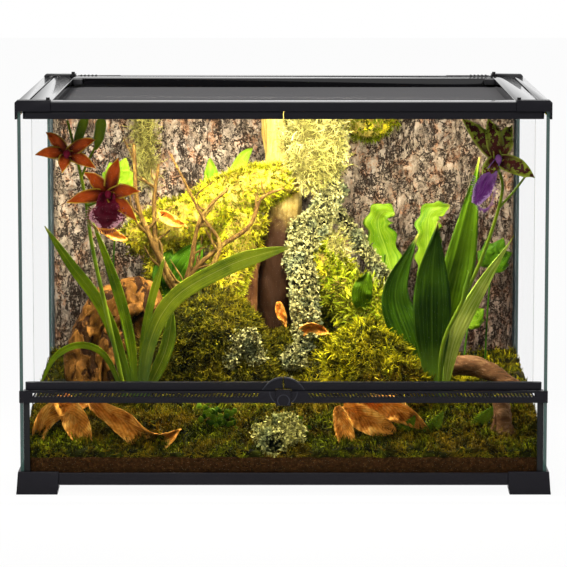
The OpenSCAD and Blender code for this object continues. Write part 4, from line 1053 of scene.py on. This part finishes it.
mossyLog = {
    "shape": (((-64, 36, 56), (-50, 36, 60), (-35, 36, 63), (-14, 36, 71), (2, 40, 74)),
              (0.016, 0.027, 0.031, 0.028, 0.018),
              ((-16, 34, 64), (-20, 30, 54), (-25, 22, 42), (-28, 14, 26)), (0.026, 0.024, 0.024, 0.03),
              ((-50, 36, 56), (-50, 34, 40), (-48, 30, 24)), (0.02, 0.016, 0.024),
              ((12, 36, 53), (24, 26, 43), (38, 8, 34), (52, -6, 24), (62, -12, 15)),
              (0.018, 0.023, 0.03, 0.028, 0.018),
              ((16, 38, 52), (14, 40, 36), (14, 38, 22)), (0.014, 0.016, 0.022),
              ((26, 80, 92), (36, 80, 88), (46, 80, 92)), (0.014, 0.018, 0.012)),
    "sides": 22, "steps": 12, "rough": (0.0045, 38, (1, 1, 1), 1.0),
}


def pairs(shape):
    return [(spots(path), radii) for path, radii in zip(shape[::2], shape[1::2])]


def addTubes(bm, shape, sides, steps):
    for path, radii in pairs(shape):
        addTube(bm, path, radii, sides, steps)


def buildWood(name, wood):
    bm = bmesh.new()
    rng = random.Random(21)
    for path, radii in pairs(wood["shape"]):
        addTube(bm, path, radii, wood["sides"], wood["steps"])
        if "branchlets" in wood:
            addBranchlets(bm, path, radii, rng, *wood["branchlets"])
    for rough in wood["rough"]:
        roughen(bm, *rough)
    addPiece(name, bm, wood["finish"], "root", wood["node"])


def buildLog(tufts):
    bm = layered("tip", "tint", "shaggy")
    addTubes(bm, mossyLog["shape"], mossyLog["sides"], mossyLog["steps"])
    roughen(bm, *mossyLog["rough"])
    shaggy = bm.verts.layers.float["shaggy"]
    for v in bm.verts:
        v[shaggy] = 1 if v.co.x > 0.05 and v.co.z < 0.26 else 0
    base = toMesh(bm, "logBase", True)
    fluff = joinMeshes("mossy_log_tufts", scatter("logFluff", base, tufts), scatter("ridgeFluff", base, tufts))
    placePiece("mossy_log_wood", base, "log", "root", "mossy_log")
    placePiece("mossy_log_tufts", fluff, "logMoss", "root", "mossy_log")


def addBranchlets(bm, path, radii, rng, count, length):
    line = smoothPath(path, 8)
    thick = spread(radii, len(line))
    for _ in range(count):
        i = rng.randrange(2, len(line) - 2)
        run = (line[i + 1] - line[i - 1]).normalized()
        side = Vector((rng.uniform(-1, 1), rng.uniform(-0.5, 0.5), rng.uniform(-0.2, 1))).normalized()
        way = (side + run * -0.4).normalized()
        reach = length * rng.uniform(0.4, 1)
        bend = Vector((rng.uniform(-1, 1), rng.uniform(-0.5, 0.5), rng.uniform(-0.3, 1))) * reach * 0.3
        addTube(bm, [line[i], line[i] + way * reach * 0.5, line[i] + way * reach + bend],
                (thick[i] * 0.6, thick[i] * 0.4, 0.0005), 6, 4)


lichens = {
    "stems": (((23, 40, 72), (14, 36, 62), (8, 27, 52), (9, 14, 36), (11, 4, 15)),
                (0.009, 0.014, 0.012, 0.012, 0.014),
              ((16, 36, 64), (6, 34, 60), (2, 32, 50)), (0.006, 0.006, 0.003),
              ((48, 42, 17), (44, 50, 40), (33, 52, 54), (21, 54, 66), (24, 64, 84)),
              (0.004, 0.005, 0.0055, 0.005, 0.004)),
    "clumps": (((1, -87, 10), 0.028), ((-4, -89, 8), 0.018), ((2, -89, 6), 0.018), ((-17, -14, 27), 0.021),
               ((-13, -16, 31), 0.013), ((6, 0, 24), 0.015), ((5, -3, 14), 0.018), ((30, 36, 40), 0.012),
               ((58, 20, 22), 0.014)),
    "blobs": (0.62, 0.55, 0.5, 0.45, 0.4), "rough": (0.0045, 70, (1, 1, 1), 2.0),
    "hair": (((10, 36, 96), (12, 34, 72), 0.029), ((3, 42, 97), (4, 40, 76), 0.012),
                ((20, 38, 92), (19, 36, 76), 0.02),
             ((-59, 84, 97), (-58, 82, 70), 0.011), ((20, 36, 58), (24, 32, 48), 0.014)),
}


frills = {"count": 7, "reach": 0.0052, "width": (0.00035, 0.00075), "bend": 0.0022, "wave": 0.0012, "sunk": 0.0006}
strands = {"count": 3, "length": (0.012, 0.026), "curl": (0.0014, 0.0042), "turns": 260, "width": 0.00042}


def lichenFrill(bm, rng):
    for _ in range(frills["count"]):
        turn = Matrix.Rotation(rng.uniform(0, fullTurn), 4, "Z") @ Matrix.Rotation(rng.uniform(0.0, 1.0), 4, "X")
        reach, bend = frills["reach"] * rng.uniform(0.5, 1.3), rng.uniform(-1, 1)
        width = rng.uniform(*frills["width"])
        ribbon(bm, 3, lambda x, along: turn @ Vector((
            x * width * (1 + 0.8 * along) + bend * along * along * frills["bend"],
            frills["wave"] * math.sin(along * 4 + bend * 3), along * reach - frills["sunk"])))


def buildLichen():
    bm = layered("tip", "tint")
    addTubes(bm, lichens["stems"], 12, 10)
    rng = random.Random(12)
    for place, radius in lichens["clumps"]:
        for size in lichens["blobs"]:
            drift = Vector((rng.uniform(-1, 1), rng.uniform(-0.7, 0.4), rng.uniform(-0.8, 0.9))) * radius * (1 - size)
            bmesh.ops.create_icosphere(bm, subdivisions=3, radius=radius * size,
                                       matrix=Matrix.Translation(spot(*place) + drift * 1.5))
    roughen(bm, *lichens["rough"])
    base = toMesh(bm, "lichenBase")
    frill = scatter("lichenFrills", base, makeTemplate("frill", lichenFrill, 4, 40))
    keepInside(base)
    keepInside(frill)
    placePiece("lichen_growth", joinMeshes("lichen_growth", base, frill), "lichen", "root", "lichen")


def hairStrand(bm, rng):
    for _ in range(strands["count"]):
        length, curl, phase = rng.uniform(*strands["length"]), rng.uniform(*strands["curl"]), rng.uniform(0, 6.3)
        lean, way = rng.uniform(0.6, 1.4), rng.uniform(0, fullTurn)
        out = math.sin(lean)
        drift = Vector((math.cos(way) * out, math.sin(way) * out, math.cos(lean) * 0.7)) * length

        def strand(x, along):
            swing = phase + along * length * strands["turns"]
            return drift * along + Vector((math.cos(swing) * curl + x * strands["width"], math.sin(swing) * curl,
                                           math.sin(swing) * curl * 0.5))

        ribbon(bm, 6, strand, 0.3)


def buildHair():
    bm = layered("tint", "tip")
    tip = bm.verts.layers.float["tip"]
    for top, foot, halfWidth in lichens["hair"]:
        a, b = spot(*top), spot(*foot)
        addTube(bm, [a, a.lerp(b, 0.35), a.lerp(b, 0.75), b], [halfWidth * share for share in (0.5, 0.8, 0.75, 0.3)],
                18, 8, 0.55)
    roughen(bm, 0.006, 50, (1, 1, 1), 3.0)
    for v in bm.verts:
        v[tip] = 0.1 + 0.5 * noise.noise(v.co * 240)
    base = toMesh(bm, "hairBase")
    hair = scatter("hairStrands", base, makeTemplate("strand", hairStrand, 6, 70))
    keepInside(hair)
    placePiece("hair_moss", joinMeshes("hair_moss", base, hair), "hairMoss", "root", "lichen")


leftOrchid = {
    "leaves": (
        (((-59, -40, 15), (-66, -42, 32), (-73, -45, 44), (-84, -48, 55), (-94, -52, 66)), 0.0068),
        (((-59, -40, 15), (-61, -38, 32), (-66, -38, 47), (-76, -40, 67)), 0.0062),
        (((-58, -40, 15), (-55, -42, 36), (-51, -44, 48), (-47, -46, 57)), 0.0045),
        (((-57, -42, 15), (-53, -48, 33), (-43, -54, 46), (-23, -60, 55), (-8, -63, 59), (3, -66, 61)), 0.0098),
        (((-62, -46, 15), (-70, -52, 29), (-80, -56, 33), (-90, -60, 30), (-96, -62, 22)), 0.0038),
        (((-57, -38, 15), (-47, -40, 30), (-44, -42, 42)), 0.008)),
    "stems": (((-62, -42, 14), (-70, -50, 42), (-75, -58, 60), (-78, -64, 77), (-84, -66, 96)),
              (0.0028, 0.0025, 0.0023, 0.002, 0.0014),
              ((-77, -62, 72), (-72, -68, 74), (-68, -71, 76)), (0.0018, 0.0016, 0.0016),
              ((-81, -65, 86), (-83, -67, 88), (-84, -69, 87)), (0.0018, 0.0016, 0.0016),
              ((-79, -64, 80), (-76, -66, 85), (-73, -66, 89)), (0.0016, 0.0015, 0.0014),
              ((-73, -66, 88), (-72, -66, 91), (-71, -66, 95), (-71, -66, 98)), (0.0016, 0.0062, 0.0066, 0.0014),
              ((-82, -64, 88), (-80, -64, 91), (-78, -64, 95), (-76, -64, 98)), (0.0012, 0.0052, 0.006, 0.002)),
    "flowers": (((-68, -72, 76), ((-64, -74, 86), (-77, -72, 82), (-56, -74, 77), (-57, -76, 69),
                (-84, -76, 74)), 0.0085,
                 (-69, -78, 67), 0.021),
                ((-84, -70, 87), ((-92, -72, 93), (-96, -76, 87), (-73, -72, 91), (-73, -70, 83),
                 (-86, -74, 82)), 0.0075,
                 None, 0)),
    "petal": "redPetal", "lip": "redLip",
}
rightOrchid = {
    "leaves": (
        (((64, -30, 16), (66, -30, 38), (72, -30, 60), (78, -32, 84)), 0.0195, "midLeaf"),
        (((60, -40, 16), (59, -44, 36), (59, -46, 52), (61, -48, 67)), 0.0215),
        (((60, -26, 16), (50, -26, 33), (45, -24, 46), (54, -24, 62)), 0.0185),
        (((64, -36, 16), (68, -40, 33), (78, -44, 48), (91, -48, 63)), 0.0095, "paleLeaf")),
    "stems": (((62, -44, 14), (63, -50, 32), (71, -56, 46), (79, -62, 60), (85, -70, 76), (83, -76, 84)),
              (0.0027, 0.0025, 0.0023, 0.0021, 0.0019, 0.0016),
              ((84, -68, 72), (90, -70, 77), (94, -72, 81)), (0.0015, 0.0014, 0.0012),
              ((70, -55, 44), (72, -57, 49), (73, -58, 54)), (0.0016, 0.0042, 0.0008)),
    "flowers": (((83, -78, 86), ((69, -76, 97), (79, -80, 97), (88, -76, 95), (97, -82, 81), (77, -80, 80)), 0.0105,
                 (74, -84, 74), 0.0115),),
    "petal": "greenPetal", "lip": "purpleLip",
}


# the hairs round a lip
fringe = {"hairs": 46, "length": (0.003, 0.0062), "width": 0.0006}


def buildOrchid(name, plant, usual, shape, pleats, pleatDepth):
    for finish in sorted({(*leaf, usual)[2] for leaf in plant["leaves"]}):
        bm = bmesh.new()
        for i, (path, width, *own) in enumerate(plant["leaves"]):
            if (*own, usual)[0] == finish:
                addBlade(bm, spots(path), width, shape, fold=0.18 if pleats else 0.32, pleats=pleats,
                         pleatDepth=pleatDepth, wave=width * 0.25, rows=30, columns=16 if pleats else 8, seed=i)
        thicken(bm, 0.0006)
        addPiece(f"{name}_{finish}", bm, finish, "root", name)
    bm = bmesh.new()
    addTubes(bm, plant["stems"], 10, 8)
    addPiece(name + "_stems", bm, "stem", "root", name)
    petals, lips = bmesh.new(), bmesh.new()
    rng = random.Random(7)
    for middle, tips, width, lip, lipWidth in plant["flowers"]:
        heart = spot(*middle)
        for i, tipPlace in enumerate(tips):
            end = spot(*tipPlace)
            bow = heart.lerp(end, 0.55) + Vector((0, -0.007, 0.003))
            addBlade(petals, [heart, bow, end], width, pointed, fold=0.12, wave=width * 0.5, curl=-0.18, rows=16,
                     columns=8, seed=i)
        addTube(lips, [heart + Vector((0, 0.003, 0.002)), heart + Vector((0, -0.007, 0.001)),
                       heart + Vector((0, -0.012, -0.003))], (0.003, 0.0042, 0.0024), 12, 5)
        if lip:
            drop = spot(*lip)
            addBlade(lips, [heart, heart.lerp(drop, 0.5) + Vector((0, -0.006, 0.001)), drop], lipWidth, fanShape,
                     fold=-0.1, wave=lipWidth * 0.5, curl=0.25, rows=26, columns=22, seed=3)
            for k in range(fringe["hairs"]):
                angle = math.pi * (k / (fringe["hairs"] - 1) * 1.3 - 0.15)
                rim = heart.lerp(drop, 0.62) + Vector((math.cos(angle) * lipWidth * 0.92, -0.004,
                                                       -math.sin(angle) * (heart - drop).length * 0.42))
                way = Vector((math.cos(angle), rng.uniform(-0.6, 0.2), -math.sin(angle)))
                addBlade(lips, straight(rim, way * rng.uniform(*fringe["length"])), fringe["width"], pointed, rows=4,
                         columns=1, seed=k)
    thicken(petals, 0.0005)
    thicken(lips, 0.0004)
    addPiece(name + "_petals", petals, plant["petal"], "root", name)
    addPiece(name + "_lips", lips, plant["lip"], "root", name)


smallLeaves = {
    "fronds": ((((47, 70, 40), (44, 70, 50), (40, 69, 59), (42, 67, 63), (47, 66, 62)), 0.02, frondShape, "limeLeaf"),
               (((60, 70, 42), (61, 70, 53), (62, 69, 62), (70, 66, 65)), 0.018, frondShape, "limeLeaf"),
               (((-37, 60, 62), (-31, 69, 72), (-31, 70, 79)), 0.0085, strap, "limeLeaf"),
               (((-27, 60, 64), (-22, 66, 72), (-17, 68, 79), (-13, 68, 82)), 0.0085, broad, "limeLeaf"),
               (((-46, 26, 40), (-42, 22, 48), (-34, 22, 57)), 0.022, broad, "darkLeaf"),
               (((-48, 26, 40), (-50, 22, 48), (-46, 22, 55)), 0.012, broad, "darkLeaf"),
               (((-42, 6, 20), (-34, 0, 24), (-28, -4, 22)), 0.012, broad, "darkLeaf"),
               (((33, 2, 37), (32, -3, 44), (35, -4, 50)), 0.0125, broad, "midLeaf")),
    "lobed": ((-70, 66, 72, 33, 20, "limeLeaf"), (88, 68, 48, 34, 25, "darkLeaf"), (78, 58, 31, 30, 10, "limeLeaf")),
    "stalks": (((43, 70, 50), (41, 66, 30), (40, 60, 12)), ((60, 70, 50), (58, 66, 30), (57, 60, 12)),
               ((-70, 66, 72), (-72, 62, 43), (-73, 58, 12)), ((88, 68, 48), (86, 64, 30), (85, 60, 12)),
               ((78, 58, 31), (76, 54, 20), (75, 50, 12))),
    "ferns": (((44, -76, 5), (47, -78, 10), (51, -80, 15)), ((55, -76, 6), (58, -78, 11), (62, -78, 16)),
              ((74, -70, 8), (78, -72, 13), (82, -74, 17)), ((40, -78, 4), (38, -80, 8), (35, -82, 12))),
    "clover": (((-27, -74, 14), 0.02, 0.009, 46), ((-22, -76, 11), 0.014, 0.008, 26), ((30, -10, 20), 0.02, 0.01, 26),
               ((6, -84, 12), 0.008, 0.008, 8)),
}
driedLeaves = (
    (((-97, -82, 6), (-93, -78, 14), (-85, -74, 18), (-74, -73, 18)), 0.0125, 0.5, 1.2),
    (((-86, -70, 20), (-80, -80, 13), (-75, -84, 6)), 0.0165, 0.6, 0.8),
    (((-75, -72, 19), (-62, -80, 14), (-51, -84, 9), (-40, -84, 12)), 0.0165, 1.1, 0.9),
    (((21, -80, 18), (24, -84, 11), (26, -87, 3)), 0.0125, 0.9, 0.8),
    (((24, -74, 18), (34, -80, 14), (44, -80, 11)), 0.017, 0.8, 0.9),
    (((30, -70, 19), (44, -76, 17), (57, -78, 11)), 0.0145, 0.6, 1.1),
    (((8, 2, 33), (12, 0, 34), (18, 2, 32)), 0.0085, 1.6, 1.2),
    (((-2, 13, 40), (-1, 12, 37), (1, 13, 33)), 0.0075, 1.4, 1.0),
    (((-76, 16, 62), (-70, 14, 60), (-64, 14, 58)), 0.008, 1.0, 1.0),
    (((-51, 16, 66), (-46, 14, 64), (-40, 14, 62)), 0.008, 1.0, 1.0),
)


def addLobedLeaf(bm, px, py, pz, size, turn):
    heart = spot(px, py, pz)
    for i, lobe in enumerate((-1.35, -0.7, 0, 0.7, 1.35)):
        angle = math.radians(turn) + lobe
        reach = size * mm * (1.0 - 0.25 * abs(lobe))
        way = Vector((math.sin(angle), -0.15, math.cos(angle))) * reach
        addBlade(bm, [heart - way * 0.15, heart + way * 0.5 + Vector((0, -0.003, 0)), heart + way], size * 0.36 * mm,
                 pointed, wave=0.003, fold=0.12, rows=12, columns=4, seed=i + px)


def buildLeaves():
    plants = {key: bmesh.new() for key in ("limeLeaf", "darkLeaf", "midLeaf")}
    for i, (path, width, shape, finish) in enumerate(smallLeaves["fronds"]):
        addBlade(plants[finish], spots(path), width, shape, wave=width * 0.4, rows=36, columns=10, seed=i)
    for px, py, pz, size, turn, finish in smallLeaves["lobed"]:
        addLobedLeaf(plants[finish], px, py, pz, size, turn)
    rng = random.Random(3)
    for place, reach, size, count in smallLeaves["clover"]:
        for k in range(count):
            at = spot(*place) + Vector((rng.gauss(0, 0.5), rng.uniform(-0.3, 0.3), rng.gauss(0, 0.5))) * reach
            way = Vector((rng.uniform(-1, 1), rng.uniform(-0.7, 0), rng.uniform(-0.2, 1))).normalized()
            addBlade(plants["darkLeaf" if k % 3 == 0 else "limeLeaf"], straight(at, way * size * rng.uniform(0.6, 1)),
                     size * 0.38, broad, rows=6, columns=2, seed=k)
    for path in smallLeaves["ferns"]:
        line = smoothPath(spots(path), 8)
        addTube(plants["limeLeaf"], spots(path), (0.0007, 0.0005, 0.0002), 5, 5)
        for i in range(1, len(line)):
            reach = 0.012 * math.sin(math.pi * (0.15 + 0.85 * i / len(line)))
            for side in (-1, 1):
                way = Vector((side, -0.25, 0.45)).normalized() * reach
                addBlade(plants["limeLeaf"], straight(line[i], way), 0.0018, pointed, rows=4, columns=2, seed=i)
    for path in smallLeaves["stalks"]:
        addTube(plants["darkLeaf"], spots(path), (0.001, 0.0012, 0.0014), 6, 6)
    for finish, bm in plants.items():
        thicken(bm, 0.0004)
        addPiece("foliage_" + finish, bm, finish, "root", "foliage")
    bm = bmesh.new()
    for i, (path, width, curl, wave) in enumerate(driedLeaves):
        addBlade(bm, spots(path), width, broad, fold=0.45, wave=width * wave, curl=curl * 0.9, rows=48, columns=16,
                 seed=i * 3, ribs=11, ribDepth=0.0011)
    thicken(bm, 0.0005)
    addPiece("dried_leaf_litter", bm, "dried", "root", "dried_leaves")


print("landscape")
tufts = makeTemplate("tuft", mossTuft, 5, 100)
buildBark()
buildSoil()
buildMoss(tufts)
print("wood")
for name, wood in woods.items():
    buildWood(name, wood)
buildLog(tufts)
print("lichen")
buildLichen()
buildHair()
print("plants")
buildOrchid("left_orchid", leftOrchid, "strapLeaf", strap, 0, 0)
buildOrchid("right_orchid", rightOrchid, "broadLeaf", lanceShape, 5, 0.0008)
buildLeaves()
